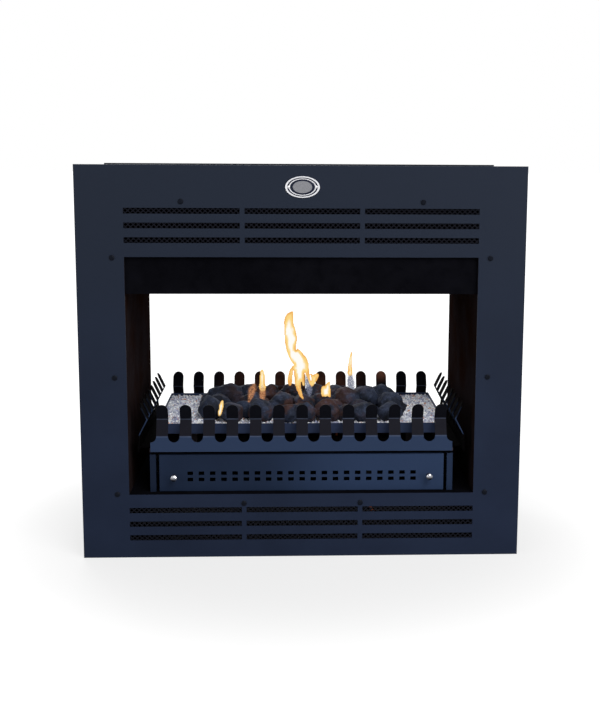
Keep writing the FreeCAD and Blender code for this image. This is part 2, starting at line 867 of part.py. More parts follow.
def comb_fence(finger_count, outer_y):
    """Front-facing comb fence: flange, upright band, middle part leaning in, fingers leaning out."""
    fold_y = outer_y + fence_lean_in
    flange_y = outer_y + fence_flange
    path = [(fold_y - fence_lean_out, base_top_z + fence_height),
            (fold_y, base_top_z + upper_fold_height), (outer_y, base_top_z + band_height),
            (outer_y, base_top_z), (flange_y, base_top_z)]
    folded = along_x(thickened(path, fence_sheet), span(finger_count * finger_pitch / 2))
    return folded.common(comb_outline(finger_count, (outer_y - cut_overrun, flange_y + cut_overrun)))


def fences():
    """The four fences by name, drilled for their bolts."""
    long_fence = comb_fence(long_fence_finger_count, -long_fence_y)
    end_fence = comb_fence(end_fence_finger_count, -end_fence_x)
    corner_x = long_fence_y - fence_flange - seat_gap
    corner = block((corner_x, long_fence_y + cut_overrun),
                   (fence_sheet - end_fence_x, fence_flange + cut_overrun - end_fence_x),
                   (base_top_z - cut_overrun, base_top_z + fence_sheet))
    end_fence = without(end_fence, left_and_right(corner))
    placed = {"front_fence": long_fence, "rear_fence": turned(long_fence, HALF_TURN),
              "right_fence": turned(end_fence, QUARTER_TURN),
              "left_fence": turned(end_fence, -QUARTER_TURN)}
    cutters = bolt_drills(base_top_z, base_top_z + fence_sheet)
    return {name: without(fence, cutters) for name, fence in placed.items()}


def fence_bolts():
    """Bolts that hold the fences on the base pan."""
    head = (bolt_head_radius, bolt_shank_radius, bolt_head_height)
    seat_z = base_top_z + fence_sheet
    return [headed_pin(Vector(x, y, seat_z), -UP, head, (bolt_shank_radius, bolt_length))
            for x, y in fence_bolt_places()]


def tray_holes():
    """Cutters for what comes up through the tray floor, as long as the tray is high."""
    places = [(0, 0, injector_neck_radius), (pilot_x, pilot_y, pilot_pipe_radius),
              (pilot_x + pilot_spacing, pilot_y, thermocouple_tip_radius),
              (pilot_x - pilot_spacing, pilot_y, electrode_radius)]
    return [rod(radius + seat_gap, Vector(x, y, tray_bottom_z - cut_overrun), UP, tray_height)
            for x, y, radius in places]


def burner_tray():
    """Open tray that holds burner and granules."""
    tray = block(span(tray_width / 2), span(tray_depth / 2), (tray_bottom_z, tray_rim_z))
    hollow = block(span(tray_width / 2 - sheet), span(tray_depth / 2 - sheet),
                   (tray_floor_z, tray_rim_z + cut_overrun))
    return without(tray, [hollow] + tray_holes())


def tray_legs():
    """Four channel-shaped legs between the base pan and the tray."""
    path = [(leg_y - leg_flange, tray_bottom_z), (leg_y, tray_bottom_z), (leg_y, base_top_z),
            (leg_y - leg_flange, base_top_z)]
    leg = along_x(thickened(path[::-1], sheet), (leg_x - leg_width / 2, leg_x + leg_width / 2))
    return front_and_rear(left_and_right(leg))


def burner_block(growth):
    """Outer block of the burner bar, grown on its free sides."""
    return block(span(burner_width / 2 + growth), span(burner_depth / 2 + growth),
                 (tray_floor_z, tray_floor_z + burner_height + growth))


def burner_bar():
    """Hollow box-section burner with a row of ports on top and its gas inlet below."""
    hollow = block(span(burner_width / 2 - burner_wall), span(burner_depth / 2 - burner_wall),
                   (tray_floor_z + burner_wall, tray_floor_z + burner_height - burner_wall))
    cutters = [hollow, rod(burner_inlet_radius, Vector(0, 0, tray_floor_z - cut_overrun), UP,
                           cut_overrun + burner_height / 2)]
    port_pitch = burner_width / burner_ports
    for port in range(burner_ports):
        x = (port - (burner_ports - 1) / 2) * port_pitch
        start = Vector(x, 0, tray_floor_z + burner_height / 2)
        cutters.append(rod(burner_port_radius, start, UP, burner_height))
    return without(burner_block(0), cutters)


def pilot_pocket(top_z):
    """Space kept free of granules and coals round the pilot set."""
    half_x = pilot_plate_width / 2 + seat_gap
    return block((pilot_x - half_x, pilot_x + half_x),
                 (pilot_y - pilot_plate_depth / 2 - pilot_pocket_margin, -burner_depth / 2),
                 (tray_floor_z - cut_overrun, top_z))


def granule_bed():
    """Granules: level along the walls and crowned towards the middle, hollow over burner and pilot."""
    half_x = tray_width / 2 - sheet
    half_y = tray_depth / 2 - sheet
    shoulder_z = tray_rim_z - granule_wall_drop
    heap = block(span(half_x), span(half_y), (tray_floor_z, shoulder_z))
    rings = []
    for inset, z in ((0, shoulder_z), (granule_slope, granule_top_z)):
        x = half_x - inset
        y = half_y - inset
        corners = [Vector(-x, -y, z), Vector(x, -y, z), Vector(x, y, z), Vector(-x, y, z)]
        rings.append(Part.makePolygon(corners + corners[:1]))
    crown = Part.makeLoft(rings, True, True)
    pocket = pilot_pocket(granule_top_z + cut_overrun)
    return without(joined([heap, crown]), [burner_block(0), pocket])


def coal(number, x, y, z):
    """One coal: a chamfered lump, sized and turned by its number."""
    size_share = coal_size_shares[number % len(coal_size_shares)]
    width = coal_width * size_share
    depth = coal_depth * size_share
    lump = block(span(width / 2), span(depth / 2), span(coal_height / 2))
    lump = lump.makeChamfer(coal_height * size_share * coal_edge_share, lump.Edges)
    lump.rotate(ORIGIN, SIDEWAYS, coal_tilt_angle * math.sin(math.radians(number * coal_tilt_step_angle)))
    lump.rotate(ORIGIN, UP, number * coal_spin_step_angle)
    sway_angle = math.radians(number * coal_sway_step_angle)
    sway = Vector(math.sin(sway_angle), math.cos(sway_angle), 0) * coal_sway
    lump.translate(Vector(x, y, z) + sway)
    return lump


def coal_places():
    """Middles of the coals, the lower layer first."""
    places = []
    lower_z = granule_top_z + coal_height / 2 - coal_lower_sink
    layers = ((lower_coal_rows, lower_coals_per_row, lower_z),
              (upper_coal_rows, upper_coals_per_row, lower_z + coal_upper_lift))
    for rows, count, z in layers:
        pitch = coal_row_length / lower_coals_per_row
        for row in range(rows):
            y = coal_heap_y + (row - (rows - 1) / 2) * coal_row_pitch
            places += [((column - (count - 1) / 2) * pitch, y, z) for column in range(count)]
    return places


def coals(carriers):
    """Heap of coals: each is trimmed to rest flush on the granules and on the coals before it."""
    heap = []
    obstacles = list(carriers)
    for number, place in enumerate(coal_places()):
        lump = coal(number, *place)
        near = [other for other in obstacles if other.BoundBox.intersect(lump.BoundBox)]
        if near:
            lump = without(lump, near)
        lump = max(lump.Solids, key=lambda solid: solid.Volume)
        heap.append(lump)
        obstacles.append(lump)
    lower_count = lower_coal_rows * lower_coals_per_row
    return heap[:lower_count], heap[lower_count:]


def control_bracket():
    """Angle on the firebox floor whose upright plate carries valve and igniter."""
    path = [(plate_y, floor_top + bracket_height), (plate_y, floor_top),
            (plate_back_y + bracket_foot, floor_top)]
    left_x = bracket_x - bracket_width / 2
    bracket = along_x(thickened(path, sheet), (left_x, left_x + bracket_width))
    holes = drills([(valve_x, valve_z)], valve_collar_radius + bracket_hole_gap, plate_y, plate_back_y)
    holes += drills([(igniter_x, valve_z)], igniter_radius + bracket_hole_gap, plate_y, plate_back_y)
    return without(bracket, holes)


def gas_valve():
    """Control valve: rounded block with spindle collar, regulator tower and pipe bosses."""
    half_x = valve_width / 2
    half_z = valve_body_height / 2
    body = block((valve_x - half_x, valve_x + half_x), (plate_back_y, valve_back_y),
                 (valve_z - half_z, valve_z + half_z))
    body = body.makeFillet(valve_edge_radius, [
        edge for edge in body.Edges if abs(edge.tangentAt(edge.FirstParameter).y) > 0.5])
    collar = rod(valve_collar_radius, Vector(valve_x, plate_y - valve_collar_length, valve_z), REARWARD,
                 valve_collar_length + sheet + valve_edge_radius)
    middle = Vector(valve_x, valve_y, valve_z)
    tower = rod(valve_tower_radius, middle, UP, half_z + valve_tower_height)
    inlet = rod(inlet_boss_radius, middle, -UP, half_z + inlet_boss_length)
    outlet = rod(outlet_boss_radius, middle, -SIDEWAYS, half_x + outlet_boss_length)
    pilot = rod(pilot_boss_radius, middle + Vector(0, pilot_boss_setback, -pilot_boss_drop),
                -SIDEWAYS, half_x + pilot_boss_length)
    bore_start = plate_y - valve_collar_length - cut_overrun
    bore = rod(spindle_radius + running_gap, Vector(valve_x, bore_start, valve_z), REARWARD,
               cut_overrun + spindle_depth + 2 * spindle_travel)
    return joined([body, collar, tower, inlet, outlet, pilot]).cut(bore)


def valve_spindle():
    """Spindle that reaches from the valve into the control knob."""
    start = Vector(valve_x, spindle_end_y, valve_z)
    return rod(spindle_radius, start, REARWARD, spindle_reach + spindle_depth)


def control_knob():
    """Skirted control knob with a pointer, on the end of the spindle."""
    back = spindle_reach - turn_knob_gap
    outline = [(back - turn_knob_length, 0), (back - turn_knob_length, turn_knob_nose_radius),
               (back - turn_knob_skirt, turn_knob_grip_radius), (back - turn_knob_skirt, turn_knob_radius),
               (back, turn_knob_radius), (back, spindle_radius + running_gap),
               (-seat_gap, spindle_radius + running_gap), (-seat_gap, 0)]
    centre = Vector(valve_x, spindle_end_y, valve_z)
    knob = revolved(outline, centre, REARWARD)
    nose_y = spindle_end_y + back - turn_knob_length
    pointer = block((valve_x - pointer_width / 2, valve_x + pointer_width / 2),
                    (nose_y - pointer_height, nose_y),
                    (valve_z, valve_z + turn_knob_nose_radius - pointer_height))
    return joined([knob, pointer])


def igniter_body():
    """Piezo igniter: collar and nut grip the bracket, the bore takes the button, terminal behind."""
    start_y = plate_y - igniter_collar
    nut_end = igniter_collar + sheet + igniter_nut
    end = igniter_length
    bore_radius = button_radius + running_gap
    outline = [(0, bore_radius), (0, igniter_collar_radius), (igniter_collar, igniter_collar_radius),
               (igniter_collar, igniter_radius), (igniter_collar + sheet, igniter_radius),
               (igniter_collar + sheet, igniter_collar_radius), (nut_end, igniter_collar_radius),
               (nut_end, igniter_radius), (end, igniter_radius), (end, terminal_radius),
               (end + terminal_length, terminal_radius), (end + terminal_length, 0),
               (igniter_bore_depth, 0), (igniter_bore_depth, bore_radius)]
    return revolved(outline, Vector(igniter_x, start_y, valve_z), REARWARD)


def igniter_button():
    """Push button of the igniter."""
    start_y = plate_y - igniter_collar
    outline = [(-button_proud, 0), (-button_proud, button_radius - button_edge),
               (button_edge - button_proud, button_radius), (button_depth, button_radius),
               (button_depth, 0)]
    return revolved(outline, Vector(igniter_x, start_y, valve_z), REARWARD)


def gas_inlet():
    """Threaded inlet fitting through the right casing side, with a nut on each face."""
    wall_x = casing_width / 2
    tail = -sheet - inlet_tail
    inner_nut = -sheet - inlet_nut_length
    outline = [(tail, 0), (tail, inlet_radius), (inner_nut, inlet_radius), (inner_nut, inlet_nut_radius),
               (-sheet, inlet_nut_radius), (-sheet, inlet_radius), (0, inlet_radius),
               (0, inlet_nut_radius), (inlet_nut_length, inlet_nut_radius),
               (inlet_nut_length, inlet_radius), (inlet_stub, inlet_radius),
               (inlet_stub, inlet_bore_radius), (0, inlet_bore_radius), (0, 0)]
    return revolved(outline, Vector(wall_x, valve_y, inlet_z), SIDEWAYS)


def supply_pipe():
    """Pipe from the inlet fitting, along under the floor and up through it to the valve."""
    boss_z = valve_z - valve_body_height / 2 - inlet_boss_length
    points = [Vector(casing_width / 2 - sheet - inlet_tail, valve_y, inlet_z),
              Vector(valve_x, valve_y, inlet_z), Vector(valve_x, valve_y, boss_z)]
    return bent_pipe(points, pipe_radius, pipe_bend)


def burner_pipe():
    """Pipe from the valve to the injector under the middle of the burner."""
    points = [Vector(valve_x - valve_width / 2 - outlet_boss_length, valve_y, valve_z),
              Vector(0, valve_y, valve_z), Vector(0, 0, valve_z),
              Vector(0, 0, tray_bottom_z - injector_nut_length)]
    return bent_pipe(points, pipe_radius, burner_pipe_bend)


def injector():
    """Injector: a nut under the tray and a neck through its floor, up to the burner inlet."""
    neck = injector_nut_length + sheet
    outline = [(0, injector_bore_radius), (0, injector_nut_radius),
               (injector_nut_length, injector_nut_radius), (injector_nut_length, injector_neck_radius),
               (neck, injector_neck_radius), (neck, injector_bore_radius)]
    return revolved(outline, Vector(0, 0, tray_bottom_z - injector_nut_length), UP)


def pilot_pipe():
    """Thin pipe from the valve to the pilot burner."""
    start = Vector(valve_x - valve_width / 2 - pilot_boss_length, valve_y + pilot_boss_setback,
                   valve_z - pilot_boss_drop)
    points = [start, Vector(pilot_x, start.y, start.z), Vector(pilot_x, pilot_y, start.z),
              Vector(pilot_x, pilot_y, tray_floor_z)]
    return bent_pipe(points, pilot_pipe_radius, pilot_pipe_bend)


def pilot_burner():
    """Pilot burner: a capped tube with its flame mouths to left and right."""
    tube = rod(pilot_burner_radius, Vector(pilot_x, pilot_y, tray_floor_z), UP, pilot_burner_height)
    top_z = tray_floor_z + pilot_burner_height - pilot_mouth_height
    reach = pilot_burner_radius + cut_overrun
    mouth = block((pilot_x - reach, pilot_x + reach),
                  (pilot_y - pilot_mouth_width / 2, pilot_y + pilot_mouth_width / 2),
                  (top_z, top_z + pilot_mouth_height / 2))
    return tube.cut(mouth)


def pilot_bracket():
    """Small angle that holds pilot burner, thermocouple and electrode in line."""
    foot_y = pilot_y - pilot_plate_depth / 2
    plate_z = tray_floor_z + pilot_plate_height
    path = [(foot_y, tray_floor_z), (foot_y, plate_z), (foot_y + pilot_plate_depth, plate_z)]
    left_x = pilot_x - pilot_plate_width / 2
    bracket = along_x(thickened(path[::-1], sheet), (left_x, left_x + pilot_plate_width))
    holes = [(pilot_x, pilot_burner_radius), (pilot_x + pilot_spacing, thermocouple_tip_radius),
             (pilot_x - pilot_spacing, electrode_radius)]
    return without(bracket, [rod(radius + seat_gap, Vector(x, pilot_y, tray_floor_z), UP, tray_height)
                             for x, radius in holes])


def thermocouple():
    """Thermocouple: a tip beside the pilot burner and its lead back to the valve."""
    x = pilot_x + pilot_spacing
    lead_z = valve_z + thermocouple_rise
    points = [Vector(valve_x, valve_back_y, lead_z), Vector(valve_x, pilot_y, lead_z),
              Vector(x, pilot_y, lead_z), Vector(x, pilot_y, tray_bottom_z)]
    tip = rod(thermocouple_tip_radius, Vector(x, pilot_y, tray_bottom_z - thermocouple_tail), UP,
              thermocouple_tail + sheet + thermocouple_tip_height)
    return joined([bent_pipe(points, thermocouple_radius, thermocouple_bend), tip])


def electrode():
    """Spark electrode: a ceramic sleeve with a metal pin out of its top."""
    tail_z = tray_bottom_z - electrode_tail
    top = tray_floor_z + electrode_height - tail_z
    outline = [(0, 0), (0, electrode_radius), (top, electrode_radius), (top, electrode_pin_radius),
               (top + electrode_pin_height, electrode_pin_radius), (top + electrode_pin_height, 0)]
    return revolved(outline, Vector(pilot_x - pilot_spacing, pilot_y, tail_z), UP)


def ignition_lead():
    """High-voltage lead from the igniter to the electrode."""
    x = pilot_x - pilot_spacing
    start_y = plate_y - igniter_collar + igniter_length + terminal_length
    points = [Vector(igniter_x, start_y, valve_z), Vector(igniter_x, lead_row_y, valve_z),
              Vector(x, lead_row_y, valve_z), Vector(x, pilot_y, valve_z),
              Vector(x, pilot_y, tray_bottom_z - electrode_tail)]
    return bent_pipe(points, lead_radius, lead_bend)


def save_shell():
    """Face frames, mesh, screws, badge and casing."""
    for side, angle in (("front", 0), ("rear", HALF_TURN)):
        save(side + "_face_frame", [turned(face_frame(side == "front"), angle)])
        save(side + "_upper_mesh", [turned(mesh_panel(upper_slots_bottom, upper_screw_places()), angle)])
        save(side + "_lower_mesh", [turned(mesh_panel(lower_slots_bottom, lower_screw_places()), angle)])
        save(side + "_frame_screws", [turned(screw, angle) for screw in frame_screws()])
    save("badge_plate", [badge_plate()])
    save("badge_rivets", badge_rivets())
    save("casing_right_side", [casing_side(True)])
    save("casing_left_side", [turned(casing_side(False), HALF_TURN)])
    save("casing_top", [casing_top()])
    save("casing_bottom", [casing_bottom()])


def save_firebox():
    """Walls, ceiling, baffle, floor and lintels."""
    save("firebox_right_wall", [firebox_wall()])
    save("firebox_left_wall", [turned(firebox_wall(), HALF_TURN)])
    save("firebox_ceiling", [firebox_ceiling()])
    save("upper_baffle", [upper_baffle()])
    save("firebox_floor", [firebox_floor()])
    save("front_lintel", [lintel()])
    save("rear_lintel", [turned(lintel(), HALF_TURN)])


def save_pedestal():
    """Pedestal with its covers and what holds them."""
    save("pedestal_right_side", [pedestal_side()])
    save("pedestal_left_side", [turned(pedestal_side(), HALF_TURN)])
    save("pedestal_top", [pedestal_top()])
    for side, angle in (("front", 0), ("rear", HALF_TURN)):
        save(side + "_cover", [turned(cover(), angle)])
        save(side + "_cover_knobs", [turned(knob, angle) for knob in cover_knobs()])
        save(side + "_cover_stop", [turned(cover_stop(), angle)])
    save("catch_brackets", front_and_rear(left_and_right(catch_bracket())))
    save("catch_magnets", front_and_rear(left_and_right(catch_magnet())))


def save_burner():
    """Basket, tray, burner, granules and coals."""
    save("basket_base", [basket_base()])
    for name, fence in fences().items():
        save(name, [fence])
    save("fence_bolts", fence_bolts())
    save("burner_tray", [burner_tray()])
    save("tray_legs", tray_legs())
    save("burner_bar", [burner_bar()])
    bed = granule_bed()
    save("granule_bed", [bed])
    pilot_top = tray_floor_z + sheet + thermocouple_tip_height + electrode_pin_height + coal_clearance
    lower, upper = coals([bed, burner_block(coal_clearance), pilot_pocket(pilot_top)])
    save("lower_coals", lower)
    save("upper_coals", upper)


def save_gas_train():
    """Valve, controls, pipes and pilot set."""
    save("control_bracket", [control_bracket()])
    save("gas_valve", [gas_valve()])
    save("valve_spindle", [valve_spindle()])
    save("control_knob", [control_knob()])
    save("igniter_body", [igniter_body()])
    save("igniter_button", [igniter_button()])
    save("gas_inlet", [gas_inlet()])
    save("supply_pipe", [supply_pipe()])
    save("burner_pipe", [burner_pipe()])
    save("injector", [injector()])
    save("pilot_pipe", [pilot_pipe()])
    save("pilot_burner", [pilot_burner()])
    save("pilot_bracket", [pilot_bracket()])
    save("thermocouple", [thermocouple()])
    save("electrode", [electrode()])
    save("ignition_lead", [ignition_lead()])


os.makedirs("parts", exist_ok=True)
save_shell()
save_firebox()
save_pedestal()
save_burner()
save_gas_train()
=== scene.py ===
import math
import random

import bmesh
import bpy
from mathutils import Matrix, Vector, kdtree, noise


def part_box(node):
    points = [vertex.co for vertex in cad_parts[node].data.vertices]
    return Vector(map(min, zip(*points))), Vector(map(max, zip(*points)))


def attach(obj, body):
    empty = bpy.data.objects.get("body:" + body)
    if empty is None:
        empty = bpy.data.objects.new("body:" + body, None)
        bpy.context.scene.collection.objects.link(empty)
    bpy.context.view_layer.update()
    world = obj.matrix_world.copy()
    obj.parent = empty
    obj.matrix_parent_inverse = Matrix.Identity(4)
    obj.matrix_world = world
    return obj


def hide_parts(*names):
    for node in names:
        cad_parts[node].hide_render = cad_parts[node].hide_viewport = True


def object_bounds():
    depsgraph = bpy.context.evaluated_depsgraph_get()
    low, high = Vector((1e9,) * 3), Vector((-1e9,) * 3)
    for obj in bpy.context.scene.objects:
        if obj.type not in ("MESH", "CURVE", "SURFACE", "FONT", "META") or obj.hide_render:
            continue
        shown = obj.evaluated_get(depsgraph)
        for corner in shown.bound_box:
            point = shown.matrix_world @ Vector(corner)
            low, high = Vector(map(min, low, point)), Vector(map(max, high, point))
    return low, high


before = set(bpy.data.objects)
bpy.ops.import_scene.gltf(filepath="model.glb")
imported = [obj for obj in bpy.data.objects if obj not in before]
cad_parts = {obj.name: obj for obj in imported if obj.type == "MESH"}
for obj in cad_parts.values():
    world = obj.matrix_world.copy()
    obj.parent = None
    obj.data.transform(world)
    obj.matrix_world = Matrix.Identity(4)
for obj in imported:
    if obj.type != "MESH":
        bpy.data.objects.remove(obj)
CAD_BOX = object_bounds()

bl_info = {
    "name": "See-through gas fireplace",
    "version": (1, 0, 0),
    "blender": (4, 5, 0),
    "location": "3D View > Sidebar > Fireplace",
    "description": "Dresses a double-sided built-in gas fireplace and sets it in a studio",
    "category": "Object",
}

MM = 0.001
BODY = "fireplace"
RIGHT, REAR, UP = Vector((1, 0, 0)), Vector((0, 1, 0)), Vector((0, 0, 1))


def srgb(red, green, blue):
    """Linear colour of an sRGB one given in bytes."""
    shares = [value / 255 for value in (red, green, blue)]
    return tuple(s / 12.92 if s <= 0.04045 else ((s + 0.055) / 1.055) ** 2.4 for s in shares)


def colour_property(label, words, colour):
    """A colour that a user may change."""
    return bpy.props.FloatVectorProperty(name=label, description=words, default=colour, subtype="COLOR",
                                         min=0.0, max=1.0)


def length_property(label, words, size):
    """A length that a user may change."""
    return bpy.props.FloatProperty(name=label, description=words, default=size, unit="LENGTH", min=0.0)


class FireplacePaints(bpy.types.PropertyGroup):
    """Colours of the painted sheets, the stones and the flames."""

    face: colour_property("Face frame", "Satin powder coat of the two face frames", srgb(28, 36, 54))
    # Painted light from above: the face coat turns paler towards the top
    top_light: colour_property("Face haze", "Paler tone of the coat towards the top", srgb(32, 38, 50))
    fence: colour_property("Fences", "Paint of the comb fences", srgb(43, 56, 81))
    pedestal: colour_property("Pedestal", "Paint of the pedestal and its covers", srgb(34, 47, 71))
    firebox: colour_property("Firebox", "Heat-tinted paint of the firebox walls", srgb(36, 30, 32))
    lintel: colour_property("Lintel", "Matt black of lintel, floor and ceiling", srgb(10, 10, 14))
    lattice: colour_property("Lattice", "Paint of the expanded metal behind the slots", srgb(17, 18, 25))
    granule: colour_property("Granules", "Pale mineral granules", srgb(200, 208, 246))
    coal: colour_property("Coals", "Dark side of the ceramic coals", srgb(38, 45, 62))
    # Brown heat tint of the firebox walls, and painted firelight on the rear fence and the coals
    scorch_and_firelight: colour_property("Scorch and firelight", "Brown that the flames leave, and painted firelight", srgb(74, 46, 34))
    tray: colour_property("Tray", "Paint of the burner tray", srgb(48, 58, 84))
    flame_rim: colour_property("Flame rim", "Orange rim of a flame", srgb(237, 172, 90))
    flame_body: colour_property("Flame body", "Gold between rim and core", srgb(252, 216, 134))
    flame_core: colour_property("Flame core", "Pale core of a flame", srgb(255, 253, 246))
    brown_veil: colour_property("Brown veil", "Thin sooty flame", srgb(214, 148, 102))
    blue_veil: colour_property("Blue veil", "Thin foot of a gas flame", srgb(120, 125, 146))


class FireplaceSizes(bpy.types.PropertyGroup):
    """Sizes of the pieces that the scene adds."""

    diamond_width: length_property("Diamond width", "Width of one lattice gap with its strand", 10.6 * MM)
    diamond_height: length_property("Diamond height", "Height of one lattice gap with its strand", 9.6 * MM)
    strand: length_property("Strand", "Width of a lattice strand", 2.0 * MM)
    granule: length_property("Granule", "Size of one granule", 9.0 * MM)
    granule_crown: length_property("Crown", "Rise of the granules towards the middle", 2.0 * MM)
    granule_slope: length_property("Slope", "Width of the sloping edge of the granules", 45.0 * MM)


class Value:
    """A socket that takes part in Python arithmetic by adding Math nodes."""

    def __init__(self, finish, socket):
        self.finish = finish
        self.socket = socket

    def __add__(self, other):
        return self.finish.maths("ADD", self, other)

    def __sub__(self, other):
        return self.finish.maths("SUBTRACT", self, other)

    def __rsub__(self, other):
        return self.finish.maths("SUBTRACT", other, self)

    def __mul__(self, other):
        return self.finish.maths("MULTIPLY", self, other)

    def __truediv__(self, other):
        return self.finish.maths("DIVIDE", self, other)

    def __abs__(self):
        return self.finish.maths("ABSOLUTE", self)

    def at_most(self, other):
        """The smaller of the two."""
        return self.finish.maths("MINIMUM", self, other)

    def at_least(self, other):
        """The larger of the two."""
        return self.finish.maths("MAXIMUM", self, other)

    def off_step(self, step):
        """Distance from the nearest multiple of a step."""
        return self.finish.maths("PINGPONG", self, step / 2)

    def between(self, low, high):
        """0 below low, 1 above high, and a soft step between."""
        return self.finish.node("ShaderNodeMapRange", {"interpolation_type": "SMOOTHSTEP"},
                                {"Value": self, "From Min": low, "From Max": high})


class Finish:
    """A material under construction around one Principled shader."""

    def __init__(self, name):
        self.material = bpy.data.materials.new(name)
        self.material.use_nodes = True
        self.tree = self.material.node_tree
        self.shader = self.tree.nodes["Principled BSDF"]

    def node(self, kind, settings=None, sockets=None, output=0):
        """Adds a node: its settings are set first, then the values or links of its sockets."""
        made = self.tree.nodes.new(kind)
        for name, value in (settings or {}).items():
            setattr(made, name, value)
        for key, value in (sockets or {}).items():
            self.feed(made.inputs[key], value)
        return Value(self, made.outputs[output])

    def feed(self, socket, value):
        """Sets a socket's value, or links a computed one to it."""
        if isinstance(value, Value):
            self.tree.links.new(value.socket, socket)
        elif hasattr(value, "__len__") and socket.type == "RGBA":
            socket.default_value = (*value[:3], 1.0)
        else:
            socket.default_value = value

    def set(self, **sockets):
        """Feeds sockets of the shader, named with underscores for spaces."""
        for name, value in sockets.items():
            self.feed(self.shader.inputs[name.replace("_", " ")], value)

    def maths(self, operation, *operands):
        """One Math node on the given operands."""
        return self.node("ShaderNodeMath", {"operation": operation}, dict(enumerate(operands)))

    def place(self):
        """Object coordinates."""
        return self.node("ShaderNodeTexCoord", output="Object")

    def axes(self):
        """The x, y and z of the Object coordinates."""
        split = self.node("ShaderNodeSeparateXYZ", sockets={0: self.place()})
        return [Value(self, split.socket.node.outputs[index]) for index in range(3)]

    def attributes(self, *names):
        """Values that the vertices of the mesh carry."""
        return [self.node("ShaderNodeAttribute", {"attribute_name": name}, output="Fac") for name in names]

    def grain(self, scale, detail=3.0, rough=0.55, stretch=None):
        """Noise from 0 to 1 at so many features a metre, stretched along an axis if asked."""
        place = self.place()
        if stretch:
            place = self.node("ShaderNodeMapping", sockets={"Vector": place, "Scale": stretch})
        return self.node("ShaderNodeTexNoise", sockets={"Vector": place, "Scale": scale, "Detail": detail,
                                                        "Roughness": rough})

    def cells(self, scale):
        """A value from 0 to 1 for each cell, at so many cells a metre."""
        colour = self.node("ShaderNodeTexVoronoi", sockets={"Vector": self.place(), "Scale": scale},
                           output="Color")
        return self.node("ShaderNodeSeparateColor", sockets={0: colour})

    def blend(self, factor, first, second):
        """Mix of two colours."""
        return self.node("ShaderNodeMix", {"data_type": "RGBA"}, {0: factor, 6: first, 7: second}, 2)

    def bump(self, height, distance, strength=1.0):
        """Normal of a relief."""
        return self.node("ShaderNodeBump", sockets={"Height": height, "Distance": distance,
                                                    "Strength": strength})


# How deep the relief of each finish is
PEEL_RELIEF, HEAT_PAINT_RELIEF, FENCE_RELIEF, END_FENCE_RELIEF = 0.05 * MM, 0.08 * MM, 0.06 * MM, 0.05 * MM
METAL_RELIEF, PLASTIC_RELIEF, BADGE_RELIEF = 0.02 * MM, 0.05 * MM, 0.05 * MM
GRANULE_RELIEF, COAL_RELIEF = 0.2 * MM, 2.4 * MM


def scaled(colour, share):
    """A colour made lighter or darker."""
    return tuple(min(1.0, value * share) for value in colour[:3])


def powder_coat(name, colour, roughness=0.5, gloss=0.06, mottle=0.25, fade=None):
    """Satin powder coat: orange-peel relief, faint clouding, dusty pores, and painted light as a fade along
    one axis.
    """
    finish = Finish(name)
    cloud = finish.grain(5.0, 4.0).between(0.3, 0.7)
    pore = finish.grain(1400.0, 2.0)
    peel = finish.grain(420.0, 2.0)
    base = finish.blend(cloud, scaled(colour, 1 - mottle / 2), scaled(colour, 1 + mottle / 2))
    # Painted light: the coat turns to another tone along one axis
    if fade:
        axis, start, end, paler = fade
        base = finish.blend(finish.axes()[axis].between(start, end), base, paler)
    base = finish.blend(pore.between(0.62, 0.8) * 0.35, base, scaled(colour, 2.2))
    normal = finish.bump(peel + pore * 0.4, PEEL_RELIEF, 0.5)
    finish.set(Base_Color=base, Roughness=cloud * 0.08 + (roughness - 0.04) + pore * 0.06, Normal=normal)
    finish.set(Specular_IOR_Level=gloss, Metallic=0.0)
    return finish.material


def heat_paint(name, colour, tint, roughness=0.85, gloss=0.0):
    """Matt heat-resistant paint with scorched clouds and soot."""
    finish = Finish(name)
    cloud = finish.grain(7.0, 5.0, 0.6).between(0.35, 0.68)
    soot = finish.grain(38.0, 4.0).between(0.42, 0.75)
    base = finish.blend(cloud, colour, tint)
    base = finish.blend(soot * 0.5, base, scaled(colour, 0.55))
    speckle = finish.grain(900.0, 2.0)
    finish.set(Base_Color=base, Roughness=soot * 0.12 + roughness,
               Normal=finish.bump(speckle, HEAT_PAINT_RELIEF, 0.5))
    finish.set(Specular_IOR_Level=gloss)
    return finish.material


# Fences: the folds' heights above the lowest edge, a finger's width, reach of the painted shade's new tone
# around a fold
FENCE_FOLDS = (33 * MM, 68 * MM)
FENCE_FINGER = 25 * MM
FOLD_BELOW, FOLD_ABOVE = 1 * MM, 3 * MM
# Painted firelight of the flames on the rear fence: the middle, then how far out and at what heights that
# fades
FENCE_FIRELIGHT_X, FENCE_FIRELIGHT_WIDTHS, FENCE_FIRELIGHT_HEIGHTS = -10 * MM, (40 * MM, 230 * MM), (262 * MM, 300 * MM)
HOT_FINGER_X, HOT_FINGER_WIDTHS, HOT_FINGER_HEIGHTS = 201 * MM, (4 * MM, 22 * MM), (302 * MM, 330 * MM)
REARWARD = (-50 * MM, 100 * MM)
# Width of the painted highlight on an end fence's finger edges, its fade above the upper fold, and width of
# the painted highlight along a fence's folds
FINGER_EDGE, EDGE_HIGHLIGHT_FADE, FOLD_HIGHLIGHT_EDGE = (0.5 * MM, 1 * MM), 8 * MM, (0.4 * MM, 1.6 * MM)


